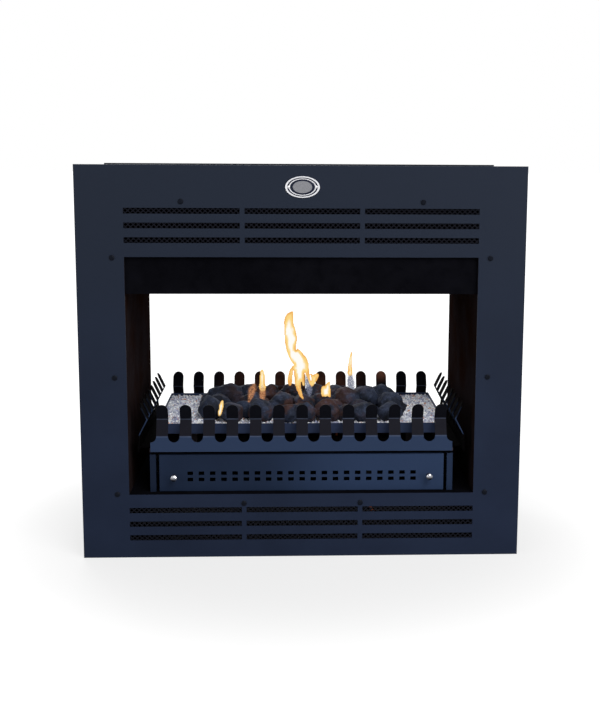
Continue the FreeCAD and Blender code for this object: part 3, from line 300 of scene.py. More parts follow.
def end_fence_shade_paint(name, soot, colour, box):
    """Painted shade on an end fence: near black, with painted highlights on the cut edges of its fingers,
    most of them between the folds.
    """
    finish = Finish(name)
    _, y, z = finish.axes()
    height = z - box[0].z
    first_fold, second_fold = FENCE_FOLDS
    # Painted highlight on the finger edges: full above the lower fold, a quarter of it above the upper one
    edge_highlight_band = height.between(first_fold - FOLD_BELOW, first_fold + FOLD_ABOVE)
    edge_highlight_band = edge_highlight_band * (1 - height.between(second_fold, second_fold + EDGE_HIGHLIGHT_FADE) * 0.75)
    edge = 1 - (y - FENCE_FINGER / 2).off_step(FENCE_FINGER).between(*FINGER_EDGE)
    smear = finish.grain(60.0, 4.0, 0.6, (1, 1, 0.4)).between(0.35, 0.7)
    # Painted shade: a near-black mottle over the whole sheet
    base = finish.blend(smear, scaled(soot, 0.6), scaled(soot, 1.3))
    base = finish.blend(edge * edge_highlight_band * (smear * 0.5 + 0.5), base, colour)
    grit = finish.grain(900.0, 2.0)
    finish.set(Base_Color=base, Roughness=grit * 0.1 + 0.8, Normal=finish.bump(grit, END_FENCE_RELIEF, 0.3))
    finish.set(Specular_IOR_Level=0.01)
    return finish.material


def fence_paint(name, colour, scorch_and_firelight, box):
    """Paint of a fence: blue band, painted shade above it, painted highlights along the folds, painted
    firelight in brown by the flames.
    """
    finish = Finish(name)
    x, y, z = finish.axes()
    first_fold, second_fold = (box[0].z + fold for fold in FENCE_FOLDS)
    cloud = finish.grain(26.0, 4.0).between(0.35, 0.7)
    # Painted shade: darker tones above each fold, where the sheet leans away from the light
    leaning_shade, tip_shade = srgb(22, 22, 29), srgb(11, 12, 18)
    base = finish.blend(z.between(first_fold - FOLD_BELOW, first_fold + FOLD_ABOVE), colour, leaning_shade)
    base = finish.blend(z.between(second_fold - FOLD_BELOW, second_fold + FOLD_ABOVE), base, tip_shade)
    rearward = y.between(*REARWARD)
    # Painted firelight: brown where the flames' light falls on the rear fence
    fence_firelight = (1 - abs(x - FENCE_FIRELIGHT_X).between(*FENCE_FIRELIGHT_WIDTHS)) * z.between(*FENCE_FIRELIGHT_HEIGHTS) * rearward
    base = finish.blend(fence_firelight * (cloud * 0.5 + 0.3), base, scaled(scorch_and_firelight, 2.0))
    hot = (1 - abs(x - HOT_FINGER_X).between(*HOT_FINGER_WIDTHS)) * z.between(*HOT_FINGER_HEIGHTS) * rearward
    base = finish.blend(hot * (cloud * 0.5 + 0.5), base, scaled(scorch_and_firelight, 7.0))
    # Painted highlight: a paler line along each fold
    fold_highlight = 1 - abs(z - first_fold).at_most(abs(z - second_fold)).between(*FOLD_HIGHLIGHT_EDGE)
    base = finish.blend(fold_highlight * (cloud * 0.3 + 0.25), base, srgb(86, 96, 118))
    pore = finish.grain(1200.0, 2.0)
    base = finish.blend(pore.between(0.62, 0.8) * 0.3, base, scaled(colour, 1.4))
    finish.set(Base_Color=base, Roughness=cloud * 0.1 + 0.5,
               Normal=finish.bump(pore, FENCE_RELIEF, 0.5))
    finish.set(Specular_IOR_Level=0.03)
    return finish.material


def bare_metal(name, colour, roughness, stretch=(1, 1, 1), wear=0.25):
    """Bare metal with drawing or turning lines along one axis and a little tarnish."""
    finish = Finish(name)
    lines = finish.grain(260.0, 3.0, 0.6, stretch)
    tarnish = finish.grain(55.0, 4.0).between(0.45, 0.8)
    base = finish.blend(tarnish * wear, colour, scaled(colour, 0.45))
    finish.set(Base_Color=base, Roughness=lines * 0.14 + (roughness - 0.07) + tarnish * 0.1,
               Normal=finish.bump(lines, METAL_RELIEF, 0.4))
    finish.set(Metallic=1.0)
    return finish.material


# Painted reflection on the knobs: wobble of the line between its halves, and how far below and above the
# middle that line runs
KNOB_SMEAR, KNOB_DARK_BELOW, KNOB_BRIGHT_ABOVE = 3 * MM, 3 * MM, 2.5 * MM


def knob_chrome(name, box):
    """Chrome with a painted reflection: bright above its middle for the bright room, dark below it for the
    dark firebox floor.
    """
    finish = Finish(name)
    middle = (box[0].z + box[1].z) / 2
    height = finish.axes()[2]
    smear = finish.grain(300.0, 3.0)
    height = height + (smear - 0.5) * KNOB_SMEAR
    # Painted reflection: bright above the knob's middle, dark below it
    above = height.between(middle - KNOB_DARK_BELOW, middle + KNOB_BRIGHT_ABOVE)
    base = finish.blend(above, srgb(52, 54, 62), srgb(150, 151, 156))
    finish.set(Base_Color=base, Roughness=smear * 0.1 + 0.1, Normal=finish.bump(smear, METAL_RELIEF, 0.3))
    finish.set(Metallic=1.0)
    return finish.material


def moulded(name, colour, roughness, gloss=0.35):
    """Moulded plastic or rubber with a fine grain."""
    finish = Finish(name)
    fine = finish.grain(1500.0, 2.0)
    wide = finish.grain(40.0, 3.0).between(0.35, 0.7)
    base = finish.blend(wide, scaled(colour, 0.85), scaled(colour, 1.15))
    finish.set(Base_Color=base, Roughness=fine * 0.12 + roughness,
               Normal=finish.bump(fine, PLASTIC_RELIEF, 0.4))
    finish.set(Specular_IOR_Level=gloss)
    return finish.material


def badge_finish(name, box):
    """Oval badge: bright rim, a silver ring and a dull silver middle on dark enamel."""
    finish = Finish(name)
    low, high = box
    x, _, z = finish.axes()
    middle = (low + high) / 2
    along = (x - middle.x) / ((high.x - low.x) / 2)
    across = (z - middle.z) / ((high.z - low.z) / 2)
    reach = along * along + across * across
    rim = reach.between(0.76, 0.82)
    line = reach.between(0.52, 0.54) * (1 - reach.between(0.62, 0.64))
    panel = 1 - reach.between(0.30, 0.33)
    silver = rim.at_least(line).at_least(panel * 0.3)
    grain = finish.grain(700.0, 2.0)
    enamel = finish.blend(grain.between(0.4, 0.7), srgb(20, 25, 40), srgb(28, 34, 52))
    base = finish.blend(silver, enamel, srgb(216, 216, 220))
    finish.set(Base_Color=base, Metallic=silver * 0.4, Roughness=0.5 - silver * 0.15 + grain * 0.08,
               Normal=finish.bump(grain + silver * 2.0, BADGE_RELIEF, 0.4))
    finish.set(Specular_IOR_Level=0.08)
    return finish.material


def granule_finish(name, colour):
    """Pale granules: each with its own tone, some grey, some beige or rusty."""
    finish = Finish(name)
    tone = finish.cells(120.0)
    warm = finish.grain(95.0, 2.0).between(0.59, 0.66)
    base = finish.blend(tone, scaled(colour, 0.5), scaled(colour, 1.7))
    base = finish.blend(warm * 0.8, base, srgb(200, 132, 88))
    dust = finish.grain(900.0, 3.0)
    finish.set(Base_Color=base, Roughness=dust * 0.1 + 0.8, Normal=finish.bump(dust, GRANULE_RELIEF, 0.6))
    finish.set(Specular_IOR_Level=0.2)
    return finish.material


# Painted firelight on the coals around the flames: the middle, and how far to the sides that fades
COAL_FIRELIGHT_X, COAL_FIRELIGHT_WIDTHS = -10 * MM, (50 * MM, 200 * MM)


def coal_finish(name, colour, scorch_and_firelight):
    """Ceramic coal: blue-grey mottle, pitted, with painted firelight in brown around the flames, and dusted
    with ash.
    """
    finish = Finish(name)
    x = finish.axes()[0]
    broad = finish.grain(34.0, 5.0, 0.65).between(0.32, 0.68)
    fine = finish.grain(170.0, 5.0, 0.65)
    # Painted firelight: brown patches near the flames
    coal_firelight = finish.grain(20.0, 4.0).between(0.47, 0.6)
    coal_firelight = coal_firelight * (1 - abs(x - COAL_FIRELIGHT_X).between(*COAL_FIRELIGHT_WIDTHS))
    base = finish.blend(broad, scaled(colour, 0.28), scaled(colour, 1.4))
    base = finish.blend(coal_firelight * 0.7, base, scorch_and_firelight)
    ash = fine.between(0.48, 0.72) * broad * 0.4
    base = finish.blend(ash, base, srgb(98, 110, 140))
    pits = finish.grain(420.0, 3.0)
    normal = finish.bump(fine * 0.75 + pits * 0.25, COAL_RELIEF, 0.85)
    finish.set(Base_Color=base, Roughness=fine * 0.15 + 0.7, Normal=normal)
    finish.set(Specular_IOR_Level=0.2)
    return finish.material


def flame_finish(name, rim_colour, body_colour, core_colour):
    """Flame: orange rim, gold body and pale core; streaked and warmer low down, thin at its foot."""
    finish = Finish(name)
    reach, rise, solid = finish.attributes(*FLAME_LAYERS)
    streak = finish.grain(110.0, 3.0, 0.55, (1, 1, 0.15))
    patch = finish.grain(34.0, 2.0, 0.5, (1, 1, 0.5)).between(0.38, 0.6)
    warm = 1 - rise.between(0.12, 0.7)
    tip = rise.between(0.82, 0.96)
    inward = reach - 1.2 + (streak - 0.5) * (warm * 16 + 8)
    inward = inward / (patch * 3 + warm * 3 + tip * 5 + 3)
    glow = finish.blend(inward.between(-0.1, 0.65), rim_colour, body_colour)
    glow = finish.blend(inward.between(0.65, 1.7), glow, core_colour)
    glow = finish.blend((1 - solid) * 0.7, glow, scaled(rim_colour, 0.8))
    finish.set(Emission_Color=glow, Alpha=reach.between(0.2, 1.9) * solid)
    finish.set(Base_Color=(0.0, 0.0, 0.0), Emission_Strength=1.0, Specular_IOR_Level=0.0, Roughness=1.0)
    return finish.material


def veil_finish(name, colour, density):
    """Thin flame or hot gas: a faint stippled haze that fades to every side."""
    finish = Finish(name)
    reach, _, solid = finish.attributes(*FLAME_LAYERS)
    stipple = finish.grain(420.0, 2.0, 0.6).between(0.4, 0.64)
    depth = reach.between(0.0, 9.0)
    fade = depth * depth * solid
    finish.set(Emission_Color=finish.blend(stipple, scaled(colour, 0.6), colour),
               Alpha=fade * (stipple * 0.85 + 0.15) * density)
    finish.set(Base_Color=(0.0, 0.0, 0.0), Emission_Strength=1.0, Specular_IOR_Level=0.0, Roughness=1.0)
    return finish.material


def paints():
    """The colours of the current scene."""
    return bpy.context.scene.fireplace_paints


def sizes():
    """The sizes of the current scene."""
    return bpy.context.scene.fireplace_sizes


def dress(material, *nodes):
    """Gives CAD nodes their material."""
    for node in nodes:
        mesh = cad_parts[node].data
        mesh.materials.clear()
        mesh.materials.append(material)


def add_piece(name, bm, material, replaced=(), smooth=True):
    """A finished piece of the fireplace from a bmesh."""
    mesh = bpy.data.meshes.new(name)
    bm.to_mesh(mesh)
    bm.free()
    mesh.materials.append(material)
    for face in mesh.polygons:
        face.use_smooth = smooth
    piece = bpy.data.objects.new(name, mesh)
    bpy.context.scene.collection.objects.link(piece)
    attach(piece, BODY)
    if replaced:
        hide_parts(*replaced)
    return piece


def lattice(node):
    """Expanded metal in the place of a CAD mesh panel: a grid of diamonds, opened and thickened."""
    low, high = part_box(node)
    wide, tall = sizes().diamond_width, sizes().diamond_height
    cells = math.ceil((high.x - low.x) / wide) + math.ceil((high.z - low.z) / tall)
    bm = bmesh.new()
    bmesh.ops.create_grid(bm, x_segments=cells, y_segments=cells, size=cells / 2)
    turn = Matrix.Rotation(math.radians(45), 4, "Z")
    stretch = Matrix.Diagonal((wide / math.sqrt(2), tall / math.sqrt(2), 1, 1))
    upright = Matrix.Rotation(math.radians(90), 4, "X")
    middle = (low + high) / 2
    bmesh.ops.transform(bm, matrix=Matrix.Translation(middle) @ upright @ stretch @ turn, verts=bm.verts)
    gaps = bm.faces[:]
    bmesh.ops.inset_individual(bm, faces=gaps, thickness=sizes().strand / 2, use_even_offset=True)
    bmesh.ops.delete(bm, geom=gaps, context="FACES")
    for corner, direction in ((low, -RIGHT), (high, RIGHT), (low, -UP), (high, UP)):
        bmesh.ops.bisect_plane(bm, geom=bm.verts[:] + bm.edges[:] + bm.faces[:], plane_co=corner,
                               plane_no=direction, clear_outer=True)
    thickness = high.y - low.y
    bmesh.ops.solidify(bm, geom=bm.faces[:], thickness=thickness)
    bmesh.ops.recalc_face_normals(bm, faces=bm.faces)
    shift = (low.y + high.y) / 2 - sum(vertex.co.y for vertex in bm.verts) / len(bm.verts)
    bmesh.ops.translate(bm, vec=REAR * shift, verts=bm.verts)
    return bm


def repeated(bm, count):
    """Doubles the one shape in the bmesh until there are so many of it; returns its vertex count."""
    each = [len(bm.verts), len(bm.edges), len(bm.faces)]
    made = 1
    while made < count:
        more = min(made, count - made)
        geom = bm.verts[:each[0] * more] + bm.edges[:each[1] * more] + bm.faces[:each[2] * more]
        bmesh.ops.duplicate(bm, geom=geom)
        made += more
    return each[0]


GRANULE_STEP_SHARE = 0.9
GRANULE_JITTER_SHARE = 0.3
GRANULE_RISE_SHARES = (-0.2, 0.25)
GRANULE_SQUEEZES = (0.6, 1.05)
GRANULE_CORNERS = (0.85, 1.1)
PILOT_FREE_STEPS = (1, 3)


def granule_places():
    """Middles of the granules: a jittered grid over the tray, free of the pilot set."""
    low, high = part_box("granule_bed")
    pilot_low, pilot_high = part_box("pilot_bracket")
    step = sizes().granule * GRANULE_STEP_SHARE
    columns, rows = int((high.x - low.x) / step), int((high.y - low.y) / step)
    front_free, rear_free = (steps * step for steps in PILOT_FREE_STEPS)
    chance = random.Random(4)
    jitter = GRANULE_JITTER_SHARE
    shoulder = high.z - sizes().granule_crown
    places = []
    for column in range(columns):
        for row in range(rows):
            x = low.x + (column + 0.5 + chance.uniform(-jitter, jitter)) * step
            y = low.y + (row + 0.5 + chance.uniform(-jitter, jitter)) * step
            inward = min(x - low.x, high.x - x, y - low.y, high.y - y)
            z = shoulder + sizes().granule_crown * min(1.0, inward / sizes().granule_slope)
            beside = pilot_low.x < x < pilot_high.x
            if not (beside and pilot_low.y - front_free < y < pilot_high.y + rear_free):
                places.append(Vector((x, y, z + chance.uniform(*GRANULE_RISE_SHARES) * step)))
    return places


def granules():
    """Angular granules, each squeezed and turned in its own way."""
    bm = bmesh.new()
    bmesh.ops.create_icosphere(bm, subdivisions=1, radius=0.5 * sizes().granule)
    places = granule_places()
    corners = repeated(bm, len(places))
    bm.verts.ensure_lookup_table()
    chance = random.Random(9)
    for number, place in enumerate(places):
        squeeze = Vector([chance.uniform(*GRANULE_SQUEEZES) for _ in range(3)])
        turn = Matrix.Rotation(chance.uniform(0, 6.3), 3, Vector((chance.random(), chance.random(), 1)))
        for vertex in bm.verts[corners * number:corners * (number + 1)]:
            vertex.co = turn @ (vertex.co * squeeze * chance.uniform(*GRANULE_CORNERS)) + place
    return bm


# The coals that show: (x, y, z, width, depth, height) of each, in millimetres
FRONT_COALS = ((-200, -112, 306, 50, 48, 54), (-155, -130, 299, 54, 50, 44), (-92, -124, 302, 58, 54, 50),
               (-30, -130, 299, 48, 48, 42), (11, -128, 301, 44, 48, 44), (56, -124, 303, 56, 54, 52),
               (97, -120, 297, 44, 46, 38), (138, -126, 299, 62, 54, 46), (196, -124, 298, 56, 52, 44))
TOP_COALS = ((-170, -14, 316, 76, 62, 50), (-112, -52, 308, 54, 48, 42), (-45, -66, 312, 54, 52, 42),
             (5, -62, 309, 50, 48, 42), (52, -56, 309, 48, 48, 42), (102, -48, 315, 60, 54, 50),
             (151, -38, 316, 54, 54, 50), (200, -80, 309, 54, 54, 50), (-123, 16, 319, 48, 46, 38),
             (-72, 12, 315, 46, 44, 36), (-20, 20, 315, 50, 46, 38), (35, 18, 314, 50, 46, 38),
             (80, 22, 313, 46, 46, 36), (183, 6, 315, 50, 48, 40), (-184, -62, 309, 50, 48, 42))


# The rows of hidden coals, each as (y, count), then their height, shift and sizes, in millimetres
HIDDEN_ROWS = ((-78, 7), (-28, 8), (22, 8), (68, 8))
HIDDEN_MARGIN = 30
HIDDEN_Z, HIDDEN_LIFT, HIDDEN_SHIFT = 297, 2, 8
HIDDEN_WIDTHS, HIDDEN_DEPTHS, HIDDEN_HEIGHT = (50, 62), (46, 58), 40
COAL_SUBDIVISIONS = 4
COAL_BREAKS = 9
COAL_BREAK_REACHES = (0.64, 0.88)
COAL_BREAK_SHARE = 0.75
COAL_SWELL = 1.08


def hidden_coals(node):
    """Coals that fill the heap behind and below the ones that show."""
    low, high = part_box(node)
    chance = random.Random(5)
    reach = (high.x - low.x) / 2 / MM - HIDDEN_MARGIN
    lumps = []
    for row, count in HIDDEN_ROWS:
        for column in range(count):
            x = (-1 + 2 * column / (count - 1)) * reach + chance.uniform(-HIDDEN_SHIFT, HIDDEN_SHIFT)
            y = row + chance.uniform(-HIDDEN_SHIFT, HIDDEN_SHIFT)
            z = HIDDEN_Z + chance.uniform(-HIDDEN_LIFT, HIDDEN_LIFT)
            lumps.append((x, y, z, chance.uniform(*HIDDEN_WIDTHS), chance.uniform(*HIDDEN_DEPTHS),
                          HIDDEN_HEIGHT))
    return lumps


def coal_lump(bm, number, coal):
    """Adds one coal: a ball, broken by a few flat faces, roughened and squeezed to size."""
    chance = random.Random(100 + number)
    place, size = Vector(coal[:3]) * MM, Vector(coal[3:]) * MM / 2
    ball = bmesh.ops.create_icosphere(bm, subdivisions=COAL_SUBDIVISIONS, radius=1.0)["verts"]
    breaks = [(Vector((chance.uniform(-1, 1), chance.uniform(-1, 1), chance.uniform(-0.8, 1))).normalized(),
               chance.uniform(*COAL_BREAK_REACHES)) for _ in range(COAL_BREAKS)]
    seed = Vector((number * 3.1, number * 1.7, number * 0.9))
    turn = Matrix.Rotation(chance.uniform(-0.4, 0.4), 3, UP)
    turn = turn @ Matrix.Rotation(chance.uniform(-0.3, 0.3), 3, RIGHT)
    for vertex in ball:
        way = vertex.co.normalized()
        point = way * (1.0 + 0.2 * noise.noise(way * 1.5 + seed))
        for direction, reach in breaks:
            over = point.dot(direction) - reach
            if over > 0:
                point -= direction * over * COAL_BREAK_SHARE
        rough = 0.06 * noise.noise(way * 3.6 + seed) + 0.04 * noise.noise(way * 8.0 + seed)
        point += way * (rough + 0.02 * noise.noise(way * 17.0 + seed))
        vertex.co = turn @ (point * size * COAL_SWELL) + place


def coals(heap, first):
    """A heap of coals."""
    bm = bmesh.new()
    for number, coal in enumerate(heap):
        coal_lump(bm, first + number, coal)
    return bm


# Each flame: its kind, its place from front to rear at its foot and its tip, then its tongues,
# each as (x, z, half width) from foot to tip, in millimetres
FLAMES = {
    "middle_flame": ("flame", (-92, -12), (
        ((-10, 352, 5.5), (-10, 375, 8), (-9, 388, 8.5), (-11, 398, 8.5), (-17, 411, 10.5),
         (-22, 424, 11.5), (-24, 437, 13), (-24, 452, 14.5), (-26, 467, 13.5), (-28, 480, 11.5),
         (-28, 493, 10.5), (-25, 500, 7.5), (-22, 506, 4), (-20, 508, 2.5)),
        ((3, 392, 13.5), (3, 400, 12.5), (-1, 410, 10), (-6, 420, 6.5), (-9, 428, 2)),
        ((5, 350, 2), (3, 360, 4.5), (1, 373, 6.5), (0, 386, 9)),
        ((23, 348, 2), (18, 360, 3.5), (14, 373, 4.5), (11, 386, 6.5)),
        ((3, 322, 2), (-1, 329, 4), (-4, 337, 5), (-7, 348, 6), (-8, 360, 7), (-8, 373, 7.5),
         (-8, 386, 8)),
        ((-26, 353, 4), (-26, 360, 6), (-25, 371, 5.5), (-23, 381, 5), (-19, 390, 2.5), (-17, 394, 1.5)),
        ((25, 350, 2), (27, 358, 5), (29, 366, 7.5), (34, 371, 5.5), (38, 373, 2)),
        ((27, 362, 5.5), (23, 372, 3), (21, 375, 1.5)))),
    "left_flame": ("flame", (-74, -64), (
        ((-87, 341, 7), (-88, 346, 8), (-88, 352, 7.5), (-88, 361, 6.5), (-88, 372, 6), (-89, 380, 4),
         (-89, 383, 2)),)),
    "front_flame": ("flame", (-152, -148), (
        ((-180, 300, 3.5), (-178, 308, 5), (-176, 315, 5), (-175, 323, 5), (-174, 328, 3.5),
         (-173, 331, 2)),)),
    "right_flame": ("flame", (-92, -74), (
        ((48, 330, 4), (48, 339, 5.5), (49, 345, 5)),
        ((63, 327, 2), (60, 333, 6), (58, 342, 7), (58, 349, 6), (60, 354, 3.5), (62, 357, 2)),
        ((53, 331, 5), (54, 341, 8)))),
    "thin_flame": ("flame", (-4, 12), (
        ((113, 362, 6), (113, 367, 6), (113, 375, 5.5), (113, 384, 4.5), (114, 395, 3.4),
         (115, 404, 2.6), (116, 409, 2), (116, 413, 1)),)),
    "left_veil": ("brown veil", (-96, -76), (
        ((-121, 311, 3.5), (-117, 320, 6.5), (-113, 331, 10), (-110, 342, 11.5), (-107, 351, 8),
         (-105, 357, 3.5)),)),
    "foot_veil": ("brown veil", (-98, -84), (
        ((-89, 318, 5), (-88, 325, 9), (-87, 334, 10.5), (-87, 343, 9), (-88, 351, 5)),)),
    "middle_veil": ("blue veil", (-80, -40), (
        ((18, 328, 7), (17, 337, 10.5), (16, 346, 11), (14, 358, 9), (12, 370, 5)),)),
    "thin_veil": ("blue veil", (-6, 4), (
        ((115, 330, 13), (115, 340, 12.5), (114, 350, 11), (113, 358, 9), (113, 366, 7.5), (113, 373, 5)),)),
}
# Flame sheets, in millimetres: their cells, the ripple of their outline, the reach of the widest place
FLAME_CELL = 1.2
FLAME_RAGGEDNESS = 1.0
FLAME_FULL = 15.0
FLAME_STEPS = 6
FLAME_FOOT_SHARE = 0.16
FLAME_BULGE_SHARE = 0.55
FLAME_LAYERS = ("reach", "rise", "solid")


def smooth_path(points):
    """More stations between the given ones, on a Catmull-Rom curve."""
    stations = []
    for index in range(len(points) - 1):
        before, start = points[max(index - 1, 0)], points[index]
        end, after = points[index + 1], points[min(index + 2, len(points) - 1)]
        for step in range(FLAME_STEPS):
            t = step / FLAME_STEPS
            stations.append([0.5 * (2 * b + (c - a) * t + (2 * a - 5 * b + 4 * c - d) * t * t
                                    + (3 * b - a - 3 * c + d) * t ** 3)
                             for a, b, c, d in zip(before, start, end, after)])
    return stations + [list(points[-1])]


def flame_cover(tongues, x, z):
    """Whether a point lies in a flame, and how solid the flame is there."""
    ripple = FLAME_RAGGEDNESS * noise.noise(Vector((x * 0.3, 0.0, z * 0.1)))
    covered, solid = False, 0.0
    for stations in tongues:
        for number, (middle, height, half) in enumerate(stations):
            if math.hypot(x - middle, z - height) < half + ripple:
                covered = True
                solid = max(solid, min(1.0, number / (len(stations) - 1) / FLAME_FOOT_SHARE))
    return covered, solid


def flame(depths, tongues):
    """One flame: a sheet over its tongues, swelling to front and rear away from its outline."""
    bm = bmesh.new()
    reach, rise, solid = (bm.verts.layers.float.new(name) for name in FLAME_LAYERS)
    tongues = [smooth_path(points) for points in tongues]
    spots = [spot for stations in tongues for spot in stations]
    left = min(x - half for x, _, half in spots) - 2 * FLAME_CELL
    right = max(x + half for x, _, half in spots) + 2 * FLAME_CELL
    foot = min(z - half for _, z, half in spots) - 2 * FLAME_CELL
    tip = max(z + half for _, z, half in spots) + 2 * FLAME_CELL
    bmesh.ops.create_grid(bm, x_segments=math.ceil((right - left) / FLAME_CELL),
                          y_segments=math.ceil((tip - foot) / FLAME_CELL), size=0.5)
    outside = []
    for vertex in bm.verts:
        share = vertex.co.y + 0.5
        x, z = left + (vertex.co.x + 0.5) * (right - left), foot + share * (tip - foot)
        covered, vertex[solid] = flame_cover(tongues, x, z)
        vertex[rise] = share
        vertex.co = Vector((x, 0.0, z)) * MM
        if not covered:
            outside.append(vertex)
    air = kdtree.KDTree(len(outside))
    for number, vertex in enumerate(outside):
        air.insert(vertex.co, number)
    air.balance()
    bmesh.ops.delete(bm, geom=outside, context="VERTS")
    bmesh.ops.delete(bm, geom=[vertex for vertex in bm.verts if not vertex.link_faces], context="VERTS")
    for vertex in bm.verts:
        vertex[reach] = air.find(vertex.co)[2] / MM
    boost = math.sqrt(FLAME_FULL / max(vertex[reach] for vertex in bm.verts))
    copied = bmesh.ops.extrude_face_region(bm, geom=bm.faces[:], use_keep_orig=True)["geom"]
    behind = {vertex for vertex in copied if isinstance(vertex, bmesh.types.BMVert)}
    for vertex in bm.verts:
        swell = FLAME_BULGE_SHARE * vertex[reach] * MM
        vertex[reach] *= boost
        place = (depths[0] + (depths[1] - depths[0]) * vertex[rise]) * MM
        vertex.co.y = place + (swell if vertex in behind else -swell)
    bmesh.ops.recalc_face_normals(bm, faces=bm.faces)
    return bm


class FIREPLACE_OT_shell(bpy.types.Operator):
    """Paints the face frames, screws and casing"""

    bl_idname = "fireplace.shell"
    bl_label = "Face frames and casing"

    def execute(self, context):
        top = CAD_BOX[1].z
        # Painted light from above: the face coat turns paler towards the top
        coat = powder_coat("face powder coat", paints().face,
                           fade=(2, 0.1 * top, top, tuple(paints().top_light)))
        dress(coat, "front_face_frame", "rear_face_frame")
        # Painted shade: the screw heads take the face paint darkened to near black, for the dark rings
        # around them
        dress(powder_coat("screw painted shade", scaled(paints().face, 0.22), 0.4, 0.06), "front_frame_screws",
              "rear_frame_screws", "fence_bolts")
        dress(powder_coat("casing black", srgb(22, 23, 27), 0.6, 0.05), "casing_left_side",
              "casing_right_side", "casing_top", "casing_bottom")
        return {"FINISHED"}


class FIREPLACE_OT_lattices(bpy.types.Operator):
    """Makes the expanded metal behind the air slots"""

    bl_idname = "fireplace.lattices"
    bl_label = "Lattices behind the slots"

    def execute(self, context):
        paint = powder_coat("lattice paint", paints().lattice, 0.55, 0.04)
        for node in ("front_upper_mesh", "front_lower_mesh", "rear_upper_mesh", "rear_lower_mesh"):
            add_piece(node.replace("mesh", "lattice"), lattice(node), paint, [node], False)
        return {"FINISHED"}


class FIREPLACE_OT_badge(bpy.types.Operator):
    """Finishes the bare badge and its rivets"""

    bl_idname = "fireplace.badge"
    bl_label = "Badge"

    def execute(self, context):
        dress(badge_finish("badge enamel and silver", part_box("badge_plate")), "badge_plate")
        dress(bare_metal("rivet silver", srgb(205, 205, 207), 0.25), "badge_rivets")
        return {"FINISHED"}


class FIREPLACE_OT_firebox(bpy.types.Operator):
    """Paints the inside of the firebox"""

    bl_idname = "fireplace.firebox"
    bl_label = "Firebox"

    def execute(self, context):
        wall = heat_paint("scorched wall paint", paints().firebox, scaled(paints().scorch_and_firelight, 0.2))
        dress(wall, "firebox_left_wall", "firebox_right_wall")
        dress(heat_paint("matt black", paints().lintel, scaled(paints().lintel, 1.5)), "front_lintel",
              "rear_lintel", "firebox_ceiling", "upper_baffle", "firebox_floor", "pedestal_top",
              "catch_brackets", "control_bracket")
        dress(heat_paint("warm black", srgb(62, 57, 61), srgb(50, 44, 46)), "basket_base",
              "tray_legs")
        return {"FINISHED"}


# Painted light on the pedestal: its paint grows paler from this far left of the middle to this far right of
# it
PEDESTAL_FADE = 150 * MM


class FIREPLACE_OT_pedestal(bpy.types.Operator):
    """Paints the pedestal and its covers, and polishes the knobs"""

    bl_idname = "fireplace.pedestal"
    bl_label = "Pedestal and covers"

    def execute(self, context):
        paint, reach = paints().pedestal, PEDESTAL_FADE
        coat = powder_coat("pedestal powder coat", scaled(paint, 0.61),
                           fade=(0, -reach, reach, scaled(paint, 1.28)))
        dress(coat, "front_cover", "rear_cover", "front_cover_stop", "rear_cover_stop")
        # Painted shade: the side strips take the pedestal paint darker than the covers
        side_coat = powder_coat("pedestal side powder coat", scaled(paint, 0.43),
                                fade=(0, -reach, reach, scaled(paint, 0.85)))
        dress(side_coat, "pedestal_left_side", "pedestal_right_side")
        dress(knob_chrome("polished chrome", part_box("front_cover_knobs")), "front_cover_knobs",
              "rear_cover_knobs")
        dress(bare_metal("plain steel", srgb(150, 152, 155), 0.4, (0.1, 1, 1)), "pilot_bracket")
        dress(moulded("ferrite", srgb(42, 42, 45), 0.55), "catch_magnets")
        return {"FINISHED"}


class FIREPLACE_OT_fences(bpy.types.Operator):
    """Paints the comb fences and the tray"""

    bl_idname = "fireplace.fences"
    bl_label = "Comb fences and tray"

    def execute(self, context):
        dress(fence_paint("fence paint", paints().fence, paints().scorch_and_firelight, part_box("front_fence")),
              "front_fence", "rear_fence")
        # End fences: painted shade, near black, with painted highlights on their finger edges
        dress(end_fence_shade_paint("end fence painted shade", srgb(5, 4, 5), scaled(paints().fence, 1.2),
                          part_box("left_fence")), "left_fence", "right_fence")
        dress(powder_coat("tray paint", paints().tray), "burner_tray")
        dress(bare_metal("heat-tinted steel", srgb(128, 120, 112), 0.42, (0.1, 1, 1), 0.6), "burner_bar",
              "pilot_burner")
        return {"FINISHED"}


class FIREPLACE_OT_granules(bpy.types.Operator):
    """Scatters the granules on their bed"""

    bl_idname = "fireplace.granules"
    bl_label = "Granules"

    def execute(self, context):
        stone = granule_finish("pale granules", paints().granule)
        dress(stone, "granule_bed")
        add_piece("loose_granules", granules(), stone, smooth=False)
        return {"FINISHED"}


class FIREPLACE_OT_coals(bpy.types.Operator):
    """Heaps the coals on the granules"""

    bl_idname = "fireplace.coals"
    bl_label = "Coals"

    def execute(self, context):
        lump = coal_finish("ceramic with painted firelight", paints().coal, paints().scorch_and_firelight)
        below = list(FRONT_COALS) + hidden_coals("lower_coals")
        add_piece("coals_below", coals(below, 0), lump, ["lower_coals"])
        add_piece("coals_above", coals(TOP_COALS, len(below)), lump, ["upper_coals"])
        return {"FINISHED"}


class FIREPLACE_OT_flames(bpy.types.Operator):
    """Lights the flames between the coals"""

    bl_idname = "fireplace.flames"
    bl_label = "Flames"

    def execute(self, context):
        rim, body, core = paints().flame_rim, paints().flame_body, paints().flame_core
        brown, blue = paints().brown_veil, paints().blue_veil
        finishes = {"flame": flame_finish("gas flame", rim, body, core),
                    "brown veil": veil_finish("brown veil", brown, 0.85),
                    "blue veil": veil_finish("blue veil", blue, 1.3)}
        for name, (kind, depths, tongues) in FLAMES.items():
            add_piece(name, flame(depths, tongues), finishes[kind])
        return {"FINISHED"}


